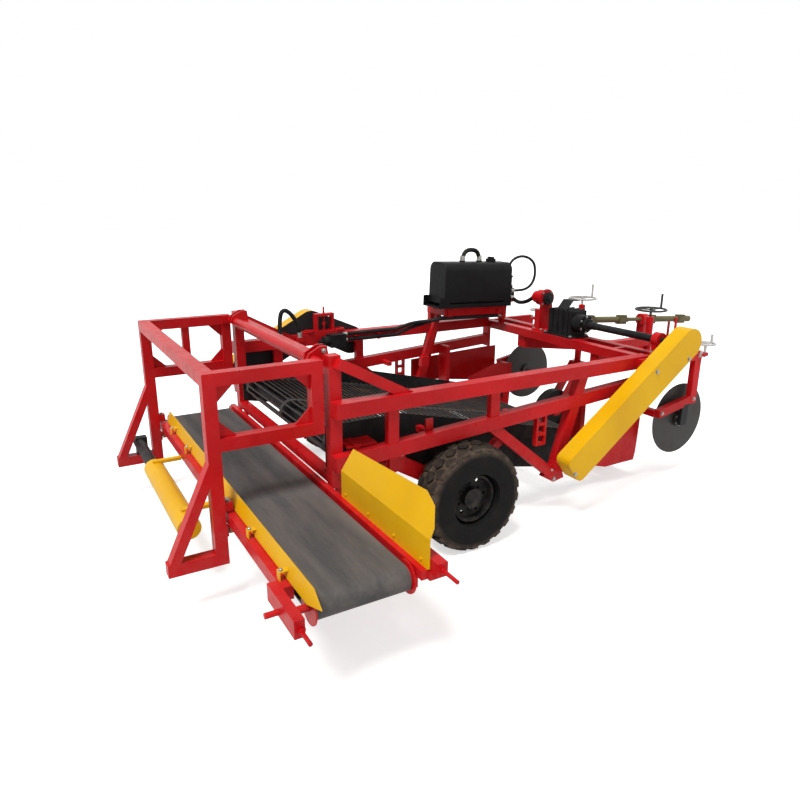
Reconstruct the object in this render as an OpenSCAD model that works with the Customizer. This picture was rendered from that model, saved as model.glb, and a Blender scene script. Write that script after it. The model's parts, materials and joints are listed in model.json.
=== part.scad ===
// Towed onion harvester with a rod web, a rear cross conveyor and front depth wheels
// Machine frame before centring: x forward, y to the left, z up from the ground, in millimetres

/* [Show] */
// Node to draw, or all

/* [Main frame] */
// Outer face of the upper rails from the centre line
rail_out = 1137; // [1000:1:1300]
// Upper rail section
rail_s = 100; // [60:5:140]
// Top of the upper rails
rail_top = 1220; // [1000:5:1500]
// Front end of the rails
rail_front = 2850; // [2400:10:3200]
// Square tube of the posts and the gantry
tube_s = 80; // [50:5:120]
// Top of the rear posts
post_top = 1509; // [1300:1:1700]

/* [Wheels] */
// Main wheel radius
wheel_r = 400; // [340:1:440]
// Main tyre width
wheel_w = 245; // [160:5:260]
// Main wheel centre along the machine
wheel_x = 1002; // [800:1:1300]
// Rim flange radius
rim_r = 175; // [160:1:240]
// Depth wheel radius
gauge_r = 237; // [180:1:300]
// Depth wheel centre along the machine
gauge_x = 3330; // [3200:5:3600]
// Depth wheel centre from the centre line
gauge_y = 450; // [300:5:700]

/* [Digging front] */
// Coulter disc radius
disc_r = 325; // [250:5:380]
// Coulter disc centre along the machine
disc_x = 3430; // [3300:5:3600]
// Coulter disc centre height
disc_z = 555; // [400:5:700]

/* [Rod web] */
// Panel sheet thickness
panel_t = 8; // [4:1:12]
// Number of rods in the loop
rod_n = 104; // [60:1:140]
// Rod diameter
rod_d = 14; // [8:1:18]
// Radius of the loop over its end rollers
loop_r = 90; // [60:5:120]

/* [Gantry and conveyor] */
// Gantry rear face
gantry_rear = -783; // [-900:1:-600]
// Gantry top
gantry_top = 1488; // [1300:1:1600]
// Foot bar underside
foot_z = 273; // [150:1:400]
// Near end of the conveyor beams
conv_near = -1760; // [-2400:1:-1500]
// Far end of the conveyor beams
conv_far = 1050; // [600:1:1200]
// Height of the belt drums
drum_z = 570; // [500:5:700]

/* [Hidden] */
$fn = 48;
fit = 0.05;
seat = 0.3;
red = [0.72, 0.1, 0.08];
yellow = [0.95, 0.75, 0.05];
black = [0.07, 0.07, 0.08];
steel = [0.35, 0.34, 0.33];
rubber = [0.05, 0.05, 0.05];
x_rear = -1069;
x_front = 5020;
y_near = -2450;
y_far = rail_out + 163;
mid_x = (x_rear + x_front) / 2;
mid_y = (y_near + y_far) / 2;
rail_in = rail_out - rail_s;
gantry_out = rail_in - 4;
post_in = gantry_out - tube_s + 4;
panel_in = rail_in - 145;
wheel_y = rail_out + 33;
disc_y = rail_in + 3;
panel_out = panel_in + panel_t;
spindle_r = 30;
axle_in = rail_in - 2;
web_rear = [130, 850];
web_front = [2620, 330];
web_dx = web_front[0] - web_rear[0];
web_dz = web_front[1] - web_rear[1];
web_len = sqrt(web_dx * web_dx + web_dz * web_dz);
web_ang = atan2(web_dz, web_dx);
loop_len = 2 * web_len + 2 * PI * loop_r;
shaft_x = 2990;
shaft_z = 1330;
shaft_r = 22;
pto_x = 3202;
pto_z = 1318;
pto_len = 1635;
pto_tilt = 4.14;
pto_r = 20;
block_at = 884;
hinge_x = -30;
hinge_z = 1450;
hinge_r = 35;
cover_x = -880;
cover_z = 450;
cover_r = 75;
guard_r = 121;
guard_in = rail_out + 53;
guard_out = rail_out + 193;
far_guard = rail_out + 23;
ladder_x0 = 2850;
ladder_x1 = 3130;
ladder_z0 = 1110;
ladder_z1 = 1190;
conv_x0 = -692;
conv_x1 = -2;
beam_w = 60;
beam_z0 = 530;
beam_z1 = 605;
front_roller_z = 500;

// Moves the machine frame so that its box is centred over the origin
module place() {
  translate([-mid_x, -mid_y, 0]) children();
}

// Mirrors a near side shape to the far side
module side(far) {
  mirror([0, far ? 1 : 0, 0]) children();
}

// Box between two corners
module box(x, y, z) {
  translate([x[0], y[0], z[0]]) cube([x[1] - x[0], y[1] - y[0], z[1] - z[0]]);
}

// Plate with an outline in x and z
module plate(points, y) {
  translate([0, y[1], 0]) rotate([90, 0, 0]) linear_extrude(y[1] - y[0]) polygon(points);
}

// Square bar along a line in x and z
module bar(p, q, w, y) {
  run = [q[0] - p[0], q[1] - p[1]];
  translate([p[0], y[0], p[1]])
    rotate([0, -atan2(run[1], run[0]), 0])
      translate([0, 0, -w / 2]) cube([norm(run), y[1] - y[0], w]);
}

// Round bar along y
module round_y(x, z, r, y) {
  translate([x, y[1], z]) rotate([90, 0, 0]) cylinder(r = r, h = y[1] - y[0]);
}

// Round bar along x
module round_x(y, z, r, x) {
  translate([x[0], y, z]) rotate([0, 90, 0]) cylinder(r = r, h = x[1] - x[0]);
}

// Round bar along z
module round_z(x, y, r, z) {
  translate([x, y, z[0]]) cylinder(r = r, h = z[1] - z[0]);
}

// Outline of a loop around two round ends
module stadium(p, q, r) {
  run = [q[0] - p[0], q[1] - p[1]];
  translate(p) rotate(atan2(run[1], run[0])) {
    circle(r);
    translate([norm(run), 0]) circle(r);
    translate([0, -r]) square([norm(run), 2 * r]);
  }
}

// Loop outline made solid across y
module loop_solid(p, q, r, y) {
  run = [q[0] - p[0], q[1] - p[1]];
  translate([p[0], y[1], p[1]]) rotate([0, -atan2(run[1], run[0]), 0]) {
    rotate([90, 0, 0]) cylinder(r = r, h = y[1] - y[0]);
    translate([norm(run), 0, 0]) rotate([90, 0, 0]) cylinder(r = r, h = y[1] - y[0]);
    translate([0, y[0] - y[1], -r]) cube([norm(run), y[1] - y[0], 2 * r]);
  }
}

// Point on the web loop at a distance along it, and on its return run
function web_point(s) =
  s < web_len ? along(web_rear, s, loop_r) :
  s < web_len + PI * loop_r ? around(web_front, web_ang + 90 - (s - web_len) / loop_r * 180 / PI) :
  s < 2 * web_len + PI * loop_r ? along(web_front, -(s - web_len - PI * loop_r), -loop_r) :
  around(web_rear, web_ang - 90 - (s - 2 * web_len - PI * loop_r) / loop_r * 180 / PI);
function along(c, s, off) =
  [c[0] + s * cos(web_ang) - off * sin(web_ang), c[1] + s * sin(web_ang) + off * cos(web_ang)];
function around(c, a) = [c[0] + loop_r * cos(a), c[1] + loop_r * sin(a)];

// Round hose swept along a route that never runs along the direction named side
hose_sides = 8;
function unit(v) = v / norm(v);
function tangent(p, i) = unit(p[min(i + 1, len(p) - 1)] - p[max(i - 1, 0)]);
function ring(p, i, r, side) =
  let (t = tangent(p, i), u = unit(cross(t, side)), v = cross(t, u))
  [for (k = [0 : hose_sides - 1])
    p[i] + r * (u * cos(360 * k / hose_sides) + v * sin(360 * k / hose_sides))];
function bend(b, c, tb, tc, t) =
  let (l = norm(c - b), q = t * t)
  (2 * q * t - 3 * q + 1) * b + (q * t - 2 * q + t) * l * tb
    + (3 * q - 2 * q * t) * c + (q * t - q) * l * tc;
function smooth(p, n) =
  [for (i = [0 : len(p) - 2], k = [0 : n - 1])
    bend(p[i], p[i + 1], tangent(p, i), tangent(p, i + 1), k / n), p[len(p) - 1]];
module hose(route, r, side, n = 4) {
  p = smooth(route, n);
  m = hose_sides;
  rings = len(p);
  points = [for (i = [0 : rings - 1]) each ring(p, i, r, side)];
  sides = [for (i = [0 : rings - 2], k = [0 : m - 1])
    [i * m + k, i * m + (k + 1) % m, (i + 1) * m + (k + 1) % m, (i + 1) * m + k]];
  first = [for (k = [m - 1 : -1 : 0]) k];
  last = [for (k = [0 : m - 1]) (rings - 1) * m + k];
  polyhedron(points, concat([first, last], sides), convexity = 4);
}

// Straight start of a hose at a port, along direction d
function lead(p, d) = [p, p + 12 * d, p + 24 * d];
function lead_in(p, d) = [p + 24 * d, p + 12 * d, p];

// Side frame with two rails, posts, brace and brackets
lower_y = [-rail_in - 80, -rail_in];
vee_y = [-rail_in - 73, -rail_in - 4];
post_y = [-rail_in - 76, -rail_in - 6];
low_rear = [0, 806];
low_front = [rail_front - 5, 982];
vee_low = [1900, 340];
module side_frame() {
  box([0, rail_front], [-rail_out, -rail_in], [rail_top - rail_s, rail_top]);
  bar(low_rear, low_front, rail_s, lower_y);
  box([0, tube_s], [-rail_in - 3, -post_in], [618, post_top]);
  for (x = [423, 1269]) box([x - 40, x + 40], [-rail_in - 73, -rail_in - 23], [840, rail_top - 20]);
  bar([2150, 1180], vee_low, 90, post_y);
  bar([1252, 858], vee_low, 80, vee_y);
  bar([40, 1470], [560, 1190], 70, [-rail_in - 67, -rail_in - 1]);
  plate([[1790, 345], [1860, 430], [1960, 430], [2010, 300], [1900, 280]],
    [-rail_in - 64, -rail_in - 12]);
  for (x = [160, 722, 1500]) box([x, x + 45], [-rail_in - 7, -panel_out], [858, 898]);
  box([715, 775], [-rail_in - 9, -rail_in + 6], [880, 985]);
  box([112, 330], [-rail_in - 5, -panel_out - 1], [878, 892]);
  box([2205, 2250], [-rail_in - 9, -panel_out], [565, 985]);
  plate([[420, 800], [540, 800], [540, 660], [420, 660]], [-rail_in - 23, -axle_in]);
  box([47, 77], [-gantry_out + 20, -gantry_out + 60], [470, 619]);
  round_x(-gantry_out + 40, front_roller_z, 12, [-58, 48]);
  round_x(-gantry_out + 40, front_roller_z, beam_z0 - seat - front_roller_z, [-58, -32]);
  for (x = [1690, 1770]) box([x, x + 20], [-rail_in - 60, -rail_in - 20], [620, 880]);
  for (z = [620, 700, 780]) box([1700, 1780], [-rail_in - 58, -rail_in - 22], [z, z + 26]);
}

module frame_near() {
  color(red) place() {
    side_frame();
    box([2690, 2790], [-guard_in, -rail_out + 2], [1130, 1210]);
    box([1870, 1950], [-guard_in, -rail_in - 74], [400, 470]);
  }
}

module frame_far() {
  color(red) place() {
    side(true) side_frame();
    for (x = [300, 800]) box([x, x + 80], [rail_out - 2, far_guard], [1130, 1210]);
    for (x = [1180, 1440], z = rail_hose)
      box([x, x + 30], [rail_run - 20, rail_in + 2], [z - 18 - seat - 8, z - 18 - seat]);
    box([680, 1100], [rail_in + 1, rail_out], [rail_top - 2, rail_top + 28]);
    for (x = [740, 1050]) difference() {
      round_z(x, rail_in + 30, 48, [rail_top + 26, rail_top + 40]);
      round_z(x, rail_in + 30, 28, [rail_top + 27, rail_top + 50]);
    }
    for (x = [800, 966]) box([x, x + 26], [rail_in + 10, rail_in + 70], [rail_top + 26, 1400]);
    box([800, 992], [rail_in + 8, rail_in + 72], [1388, 1412]);
    round_z(896, rail_in + 40, 9, [rail_top + 26, 1475]);
    round_z(896, rail_in + 40, 20, [1300, 1328]);
    for (x = pipe_x) box([x - 30, x + 30], [pipe_y - 28, rail_in + 2], [pipe_z - 40, pipe_z]);
  }
}

// Rear top beam with two pairs of lugs that hold the gantry's round tube
module rear_cross_beam() {
  color(red) place() {
    difference() {
      union() {
        box([0, tube_s], [-post_in, post_in], [1380, 1460]);
        for (y = [-830, 830], o = [-32, 32])
          plate([[hinge_x - 48, hinge_z - 12], [hinge_x - 34, hinge_z + 46], [14, 1540], [64, 1540],
            [76, 1458], [20, 1396]], [y + o - 8, y + o + 8]);
      }
      round_y(hinge_x, hinge_z, hinge_r + fit, [-post_in - 1, post_in + 1]);
    }
    box([0, tube_s], [-post_in, post_in], [640, 690]);
  }
}

// Front ladder of two tubes joined by flat rungs
module front_ladder_beam() {
  color(red) place() {
    box([ladder_x0, ladder_x0 + tube_s], [-rail_out, rail_out], [ladder_z0, ladder_z1]);
    box([ladder_x1 - tube_s, ladder_x1], [-rail_out, rail_out], [ladder_z0, ladder_z1]);
    for (y = [-1100, -700, -260, 60, 380, 1060])
      box([ladder_x0 + tube_s - 2, ladder_x1 - tube_s + 2], [y, y + 40], [ladder_z0, ladder_z1]);
    for (y = [-rail_out, rail_in]) box([ladder_x0, ladder_x0 + 30], [y, y + rail_s], [900, ladder_z1]);
  }
}

// Towing frame with its ring, a crossing plate and the rest of the drive shaft
module drawbar() {
  color(red) place() {
    for (m = [0, 1]) mirror([0, m, 0]) {
      hull() {
        box([2870, 2900], [-560, -460], [990, ladder_z0]);
        box([4660, 4700], [-90, -10], [810, 910]);
      }
      box([2870, 3110], [-560, -460], [1000, ladder_z0]);
      box([4560, 4590], [-50, -38], [890, 1240]);
      hull() {
        box([4560, 4590], [-50, -38], [890, 900]);
        box([4560, 4590], [-120, -60], [850, 860]);
      }
    }
    box([4640, 4780], [-110, 110], [800, 920]);
    box([4545, 4605], [-120, 120], [850, 905]);
    box([4020, 4150], [-240, 240], [880, 960]);
    box([4770, 4900], [-45, 45], [835, 885]);
    difference() {
      round_z(4945, 0, 75, [835, 885]);
      round_z(4945, 0, 25, [834, 886]);
    }
  }
}

// Leading arm from the rail to the wheel spindle, with its strut
module wheel_arm() {
  bar([480, 712], [wheel_x, wheel_r], 110, [-axle_in, -axle_in + 70]);
  round_y(480, 712, 75, [-axle_in, -axle_in + 80]);
  round_y(wheel_x, wheel_r, 80, [-axle_in, -axle_in + 75]);
  bar([wheel_x, wheel_r + 20], [1420, 720], 60, [-rail_in - 4, -rail_in + 52]);
  round_y(wheel_x, wheel_r, spindle_r, [-wheel_y - 68, -axle_in + 2]);
  round_y(wheel_x, wheel_r, 52, [-wheel_y + 108, -axle_in + 2]);
}
module wheel_arm_near() {
  color(red) place() wheel_arm();
}
module wheel_arm_far() {
  color(red) place() side(true) wheel_arm();
}

// Sheet beside the rod web
module web_panel() {
  plate([[20, 720], [20, 1010], [600, 1010], [2980, 430], [2980, 330], [2700, 200], [2400, 240]],
    [-panel_out, -panel_in]);
}
module web_panel_near() {
  color(black) place() web_panel();
}
module web_panel_far() {
  color(black) place() side(true) web_panel();
}

// Endless web of steel rods on rubber belts
web_belts = [-850, -25, 800];
belt_w = 50;
module web_loop() {
  color(steel) place() {
    for (y = web_belts) {
      difference() {
        loop_solid(web_rear, web_front, loop_r + 4, [y, y + belt_w]);
        loop_solid(web_rear, web_front, loop_r - 4, [y - 1, y + belt_w + 1]);
      }
    }
    for (i = [0 : rod_n - 1]) {
      p = web_point((i + 0.5) * loop_len / rod_n);
      round_y(p[0], p[1], rod_d / 2, [-panel_in + 6, panel_in - 6], $fn = 16);
    }
  }
}

// End drums and carrying rollers of the web on their shafts
module web_rollers() {
  inside = loop_r - rod_d / 2 - seat;
  color(black) place() {
    for (c = [web_rear, web_front]) {
      for (y = web_belts) round_y(c[0], c[1], inside, [y - 18, y + belt_w + 18]);
      round_y(c[0], c[1], 36, [-panel_in + 8, panel_in - 8]);
      round_y(c[0], c[1], 22, [-panel_in, panel_in]);
    }
    for (s = [600, 1250, 1900]) {
      c = along(web_rear, s, inside - 40);
      round_y(c[0], c[1], 40, [-panel_in + 8, panel_in - 8]);
      round_y(c[0], c[1], 14, [-panel_in, panel_in]);
    }
  }
}

// Digging blade with its cheek plates
module share() {
  color(red) place() {
    plate([[2745, 302], [2745, 288], [3000, 188], [3050, 180], [3050, 192], [3000, 206]],
      [-panel_in + 2, panel_in - 2]);
    box([2990, 3048], [-panel_out - 8, panel_out + 8], [182, 198]);
    for (m = [0, 1]) mirror([0, m, 0])
      plate([[2500, 235], [2700, 178], [3060, 178], [3075, 250], [3090, 500], [3090, 710], [2880, 730], [2500, 620]],
        [-panel_out - 8, -panel_out]);
  }
}

module far_side_sheet() {
  color(red) place()
    plate([[1900, 629], [1900, 840], [2850, 880], [3020, 880], [3020, 480], [2600, 530]],
      [rail_in + 76 + seat, rail_in + 82 + seat]);
}

// Closed chain case along the near side, round at the top and blunt below
guard_low = [1958, 497];
guard_high = [3098, 1330];
module chain_guard_near() {
  rise = atan2(guard_high[1] - guard_low[1], guard_high[0] - guard_low[0]);
  long = norm(guard_high - guard_low);
  r = guard_r;
  color(yellow) place() translate([guard_low[0], -guard_in, guard_low[1]]) rotate([0, -rise, 0])
    rotate([90, 0, 0]) linear_extrude(guard_out - guard_in) {
      translate([long, 0]) circle(r);
      polygon([[-r + 24, 55 - r], [-r + 79, -r], [long, -r], [long, r], [-r + 79, r], [-r + 24, r - 55]]);
      for (v = [-1, 1]) translate([-r + 79, v * (r - 55)]) circle(55);
    }
}
// Humped chain case along the far side
far_chain = [[150, 950], [800, 1290], [1220, 1110]];
far_guard_r = 140;
function bow(c, r, from, to) = [for (a = [from : (to - from) / 12 : to]) c + r * [cos(a), sin(a)]];
module chain_guard_far() {
  up_slope = atan2(far_chain[1][1] - far_chain[0][1], far_chain[1][0] - far_chain[0][0]);
  down_slope = atan2(far_chain[2][1] - far_chain[1][1], far_chain[2][0] - far_chain[1][0]);
  r = far_guard_r;
  color(yellow) place()
    plate(concat(bow(far_chain[0], r, up_slope + 270, up_slope + 90),
      bow(far_chain[1], r, up_slope + 90, down_slope + 90),
      bow(far_chain[2], r, down_slope + 90, down_slope - 90), [[830, 1150]]), [far_guard, y_far]);
}

// Bevel gearbox on its base plate
module gearbox() {
  color(black) place() {
    box([2870, 3110], [-190, 190], [ladder_z1, 1204]);
    box([2900, 3100], [-150, 150], [1203, 1440]);
    for (y = [-120, -50, 20, 90]) box([2890, 3110], [y, y + 14], [1203, 1450]);
    round_y(shaft_x, shaft_z, 85, [-262, -140]);
    translate([pto_x, 0, pto_z]) rotate([0, 90 + pto_tilt, 0])
      translate([0, 0, -140]) cylinder(r = 70, h = 139.7);
    plate([[2930, 1449], [3000, 1530], [3090, 1530], [3090, 1522], [3006, 1522], [2942, 1449]], [-60, 70]);
  }
}

bearing_y = -rail_in - 50;
module shaft_bearing() {
  color(red) place() difference() {
    union() {
      box([2900, 3080], [bearing_y - 25, bearing_y + 25], [ladder_z1, 1230]);
      box([2940, 3040], [bearing_y - 25, bearing_y + 25], [1228, 1340]);
      round_y(shaft_x, shaft_z, 62, [bearing_y - 33, bearing_y + 33]);
    }
    round_y(shaft_x, shaft_z, shaft_r + fit, [bearing_y - 60, bearing_y + 60]);
  }
}

module cross_shaft() {
  color(black) place() {
    round_y(shaft_x, shaft_z, shaft_r, [-guard_in + seat, -262 - seat]);
    round_y(shaft_x, shaft_z, 58, [-300, -262 - seat]);
    round_y(shaft_x, shaft_z, 36, [-380, -299]);
    round_y(shaft_x, shaft_z, 32, [-rail_in + 10, -370]);
  }
}

// Pump plate beside the gearbox with its pump and sprockets
pump_x = 2990;
pump_z = 1510;
module pump_pedestal() {
  color(red) place() {
    box([2890, 3090], [235, 380], [ladder_z1, 1204]);
    plate([[2900, 1203], [2915, pump_z - 40], [3065, pump_z - 40], [3080, 1203]], [290, 306]);
    for (x = [2915, 3045]) plate([[x, 1203], [x, 1400], [x + 20, 1400], [x + 20, 1203]], [304, 375]);
    round_y(pump_x, pump_z, 92, [289, 307]);
    round_y(pump_x, pump_z, 78, [305, 390]);
    round_y(pump_x, pump_z, 60, [389, 450]);
    round_y(pump_x, pump_z, 55, [258, 290]);
    round_y(pump_x, pump_z, 26, [232, 260]);
    for (a = [0 : 30 : 330]) translate([pump_x, 0, pump_z]) rotate([0, a, 0])
      box([46, 66], [262, 276], [-7, 7]);
  }
}

// Oil tank with rounded edges and its cap, tipped a little to the front with its saddle
tank_tip = 2;
tank_x = 2030;
tank_l = 830;
tank_h = 410;
tank_z = 1455;
tank_y0 = rail_in - 337;
tank_y1 = rail_in - 37;
module tipped() {
  translate([tank_x, 0, tank_z]) rotate([0, tank_tip, 0]) children();
}
function tip(p) = [tank_x + p[0] * cos(tank_tip) + p[2] * sin(tank_tip), p[1],
  tank_z - p[0] * sin(tank_tip) + p[2] * cos(tank_tip)];
tank_y = (tank_y0 + tank_y1) / 2;
arch = [290, 500];
port_r = 30;
port_top = tank_h + 12;
port_end = tank_l + 20;
drain = [tank_y0 + 40, 120];
suction = [tank_y0 + 40, 48];
module tank_shell(x, inset) {
  top_r = 80 - inset;
  low_r = 30 - inset;
  for (c = [[80, top_r], [30, low_r]]) for (y = [tank_y0 + c[0], tank_y1 - c[0]])
    round_x(y, c[0] == 80 ? tank_h - 80 : 30, c[1], x);
}
module oil_tank() {
  color(black) place() tipped() {
    hull() {
      tank_shell([8, tank_l - 8], 0);
      tank_shell([0, tank_l], 8);
    }
    round_z(650, tank_y, 52, [tank_h - 6, tank_h + 30]);
    round_z(650, tank_y, 36, [tank_h + 29, tank_h + 50]);
    for (x = arch) round_z(x, tank_y, port_r, [tank_h - 6, port_top]);
    for (f = [drain, suction]) round_x(f[0], f[1], 26, [tank_l - 4, port_end]);
    box([-60, tank_l + 8], [tank_y0 - 5, tank_y1 + 2], [-34 + seat, -24]);
    for (y = [tank_y0 - 5, tank_y1 - 2])
      plate([[-60, -33], [-60, 70], [20, 70], [60, 6], [tank_l - 100, 6], [tank_l - 60, 40],
        [tank_l + 8, 40], [tank_l + 8, -33]], [y, y + 4]);
    box([60, tank_l - 60], [tank_y0 + 40, tank_y1 - 40], [-26, 5]);
  }
}

// Stand with cross bars and long bars under the tank's saddle, and the valve's post
stand_bars = [60, tank_l - 150];
leg_top = tank_x + 90;
module tank_stand() {
  color(red) place() {
    tipped() {
      for (x = stand_bars) box([x, x + 60], [tank_y0 + 20, rail_in + 70], [-120, -62]);
      for (y = [tank_y0 + 30, tank_y1 - 80]) box([20, tank_l - 20], [y, y + 60], [-64, -34]);
      box([tank_l - 70, tank_l - 25], [tank_y0 + 25, tank_y0 + 115], [hose_low - 25, -62]);
      box([22, tank_l - 22], [tank_y0 + 28, tank_y0 + 42], [-116, -40]);
    }
    for (x = stand_bars) {
      top = tip([x + 30, 0, -90]);
      box([top[0] - 28, top[0] + 28], [rail_in + 8, rail_in + 66], [rail_top, top[2]]);
    }
    bar([leg_top, 1345], [leg_top - 170, 895], 56, [panel_in + 24, panel_in + 64]);
    box([leg_top - 220, leg_top - 140], [panel_out, panel_in + 70], [800, 905]);
    box([valve_x - 30, valve_x + 15], [valve_y + 85, valve_y + 135], [ladder_z1, 1420]);
    box([valve_x - 30, valve_x + 65], [valve_y - 5, valve_y + 145], [1418, 1440 - seat]);
  }
}

valve_y = rail_in - 257;
valve_x = tank_x + tank_l + 55;
module valve_block() {
  color(black) place() {
    box([valve_x, valve_x + 60], [valve_y, valve_y + 140], [1440, 1560]);
    for (y = [valve_y + 25, valve_y + 105]) {
      round_z(valve_x + 30, y, 18, [1559, 1590]);
      round_z(valve_x + 30, y, 8, [1588, 1680]);
    }
    round_z(valve_x + 15, valve_y + 65, 24, [1559, 1575]);
  }
}

// Oil hoses from port to port, and two that lie under the stand and along the far rail
rail_run = rail_in - 24;
rail_hose = [1205, 1150];
hose_low = -120 - 18 - 3 * seat;
motor_front = 1060;
pipe_x = [430, 620];
pipe_y = rail_in - 26;
pipe_z = rail_top - 3;
up = [0, 0, 1];
left = [0, 1, 0];
ahead = [1, 0, 0];
tank_ahead = [cos(tank_tip), 0, -sin(tank_tip)];
arch_mid = (arch[0] + arch[1]) / 2;
module hoses() {
  color(rubber) place() {
    tipped() hose(concat(lead([arch[0], tank_y, port_top + seat], up),
      [[arch[0] + 36, tank_y, tank_h + 100], [arch_mid, tank_y, tank_h + 118],
      [arch[1] - 36, tank_y, tank_h + 100]], lead_in([arch[1], tank_y, port_top + seat], up)), 22, left);
    hose(concat(lead(tip([port_end + seat, suction[0], suction[1]]), tank_ahead),
      [[2965, 690, 1425], [2992, 590, 1445]], lead_in([pump_x, 450 + seat, pump_z], left)), 20, up);
    hose(concat(lead([pipe_x[0], pipe_y, pipe_z + seat], up),
      [[pipe_x[0] + 5, pipe_y, 1400], [pipe_x[0] + 40, pipe_y, 1475], [pipe_x[1] - 80, pipe_y, 1440],
      [pipe_x[1] - 20, pipe_y, 1340]], lead_in([pipe_x[1], pipe_y, pipe_z + seat], up)), 20, left);
    for (k = [0, 1]) hose(concat(
      lead(tip([tank_l - 70 - seat, tank_y0 + 50 + 40 * k, hose_low]), -tank_ahead),
      [for (x = [60, 30, 0]) tip([x, tank_y0 + 50 + 40 * k, hose_low])],
      [[tank_x - 90, tank_y0 + 70 + 40 * k, 1303 - 12 * k],
      [tank_x - 230, rail_in - 107 + 25 * k, 1262 - 47 * k]],
      [for (x = [1650, 1610, 1570]) [x, rail_run, rail_hose[k]]],
      lead_in([motor_front + seat, rail_run, rail_hose[k]], ahead)), 18, up);
  }
}

// Long hose that loops from the valve to the tank
loop_hose_r = 13.5;
module hose_loop() {
  color(rubber) place() hose(concat(lead([valve_x + 15, valve_y + 65, 1575 + seat], up),
    [[2931, valve_y + 64, 1740], [2948, valve_y + 51, 1822], [2987, valve_y + 23, 1871],
    [3043, valve_y - 18, 1890], [3099, valve_y - 60, 1871], [3141, valve_y - 90, 1820],
    [3154, valve_y - 101, 1740], [3146, valve_y - 104, 1670], [3115, valve_y - 97, 1602],
    [3060, valve_y - 74, 1556], [2985, valve_y - 45, 1542]],
    lead_in(tip([port_end + seat, drain[0], drain[1]]), tank_ahead)), loop_hose_r, left, 3);
}

// Hydraulic motor on the far rail where the two long hoses end
module hydraulic_motor() {
  color(black) place() {
    box([900, motor_front], [rail_in - 115, rail_in - seat], [1100, rail_top]);
    round_x(rail_in - 60, 1160, 48, [840, 901]);
    round_x(rail_in - 60, 1160, 20, [800, 841]);
  }
}

module bearing_block() {
  color(red) place() difference() {
    union() {
      box([4040, 4130], [-70, 70], [960, 980]);
      box([4055, 4115], [-45, 45], [979, 1230]);
      translate([pto_x, 0, pto_z]) rotate([0, 90 + pto_tilt, 0])
        translate([0, 0, block_at - 40]) cylinder(r = 60, h = 80);
    }
    translate([pto_x, 0, pto_z]) rotate([0, 90 + pto_tilt, 0])
      translate([0, 0, block_at - 80]) cylinder(r = pto_r + fit, h = 160);
  }
}

// Drive shaft with its joints and the open front yoke
module pto_shaft() {
  color(steel) place()
    translate([pto_x, 0, pto_z]) rotate([0, 90 + pto_tilt, 0]) difference() {
      union() {
        cylinder(r = pto_r, h = pto_len - 80);
        for (s = [90, 560, 1010, 1490]) {
          translate([-22, -46, s - 60]) cube([44, 92, 120]);
          translate([-46, -22, s - 60]) cube([92, 44, 120]);
        }
        translate([0, 0, 150]) cylinder(r = 32, h = 350);
        translate([0, 0, 1070]) cylinder(r = 32, h = 360);
        translate([0, 0, pto_len - 130]) cylinder(r = 34, h = 130);
      }
      translate([0, 0, pto_len - 80]) cylinder(r = 17.5, h = 90);
    }
}

// Arm outside a coulter disc: post, sloping bar back to the share, hub plate, spindle, setting wheel
arm_y = [-rail_out, -rail_out + 57];
arm_mid = -rail_out + 28;
module disc_arm() {
  box([ladder_x1, 3530], arm_y, [ladder_z0, ladder_z1]);
  box([3450, 3530], [arm_y[0] + 2, arm_y[1] - 2], [712, ladder_z1 - 2]);
  bar([3525, 757], [3060, 672], 76, [arm_y[0] + 4, arm_y[1] - 4]);
  box([3036, 3088], [arm_y[1] - 10, -panel_out - 8 - seat], [640, 700]);
  box([disc_x - 40, disc_x + 40], [arm_y[1] - 30, arm_y[1] - 1], [disc_z - 45, 730]);
  round_y(disc_x, disc_z, 22, [arm_y[1] - 3, -disc_y + 40]);
  round_y(disc_x, disc_z, 42, [arm_y[1] - 3, arm_y[1] + 9]);
  round_z(3600, arm_mid, 12, [1120, 1250]);
  box([3528, 3625], [arm_mid - 20, arm_mid + 20], [1130, 1160]);
  translate([3600, arm_mid, 1240]) hand_wheel(75);
}

// Hand wheel with three spokes and a handle
module hand_wheel(r) {
  rotate_extrude() translate([r, 0]) circle(r = 10, $fn = 16);
  for (a = [0, 120, 240]) rotate([0, 0, a]) translate([0, -8, -6]) cube([r, 16, 12]);
  translate([r, 0, 0]) cylinder(r = 11, h = r);
}
module disc_arm_near() {
  color(red) place() disc_arm();
}
module disc_arm_far() {
  color(red) place() side(true) disc_arm();
}

// Coulter disc with its hub
module coulter() {
  difference() {
    union() {
      round_y(disc_x, disc_z, disc_r, [-disc_y - 4, -disc_y + 4]);
      round_y(disc_x, disc_z, 70, [-disc_y - 30, -disc_y + 30]);
    }
    round_y(disc_x, disc_z, 22 + fit, [-disc_y - 60, -disc_y + 60]);
  }
}
module disc_near() {
  color(steel) place() coulter();
}
module disc_far() {
  color(steel) place() side(true) coulter();
}

// Depth wheel fork with its screw post and hand wheel
fork_y = 64;
module gauge_fork() {
  for (y = [-fork_y - 12, fork_y])
    plate([[gauge_x - 40, gauge_r - 40], [gauge_x - 40, gauge_r + 40], [3600, 760], [3690, 760],
      [3690, 690], [gauge_x + 40, gauge_r - 40]], [-gauge_y + y, -gauge_y + y + 12]);
  box([3600, 3690], [-gauge_y - fork_y - 12, -gauge_y + fork_y + 12], [690, 760]);
  round_y(gauge_x, gauge_r, 15, [-gauge_y - fork_y - 14, -gauge_y + fork_y + 14]);
  round_z(3645, -gauge_y, 35, [759, 1380]);
  round_z(3645, -gauge_y, 12, [1379, 1470]);
  box([ladder_x1, 3615], [-gauge_y - 40, -gauge_y + 40], [ladder_z0, ladder_z1]);
  translate([3645, -gauge_y, 1450]) hand_wheel(140);
}
module gauge_fork_near() {
  color(red) place() gauge_fork();
}
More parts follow.
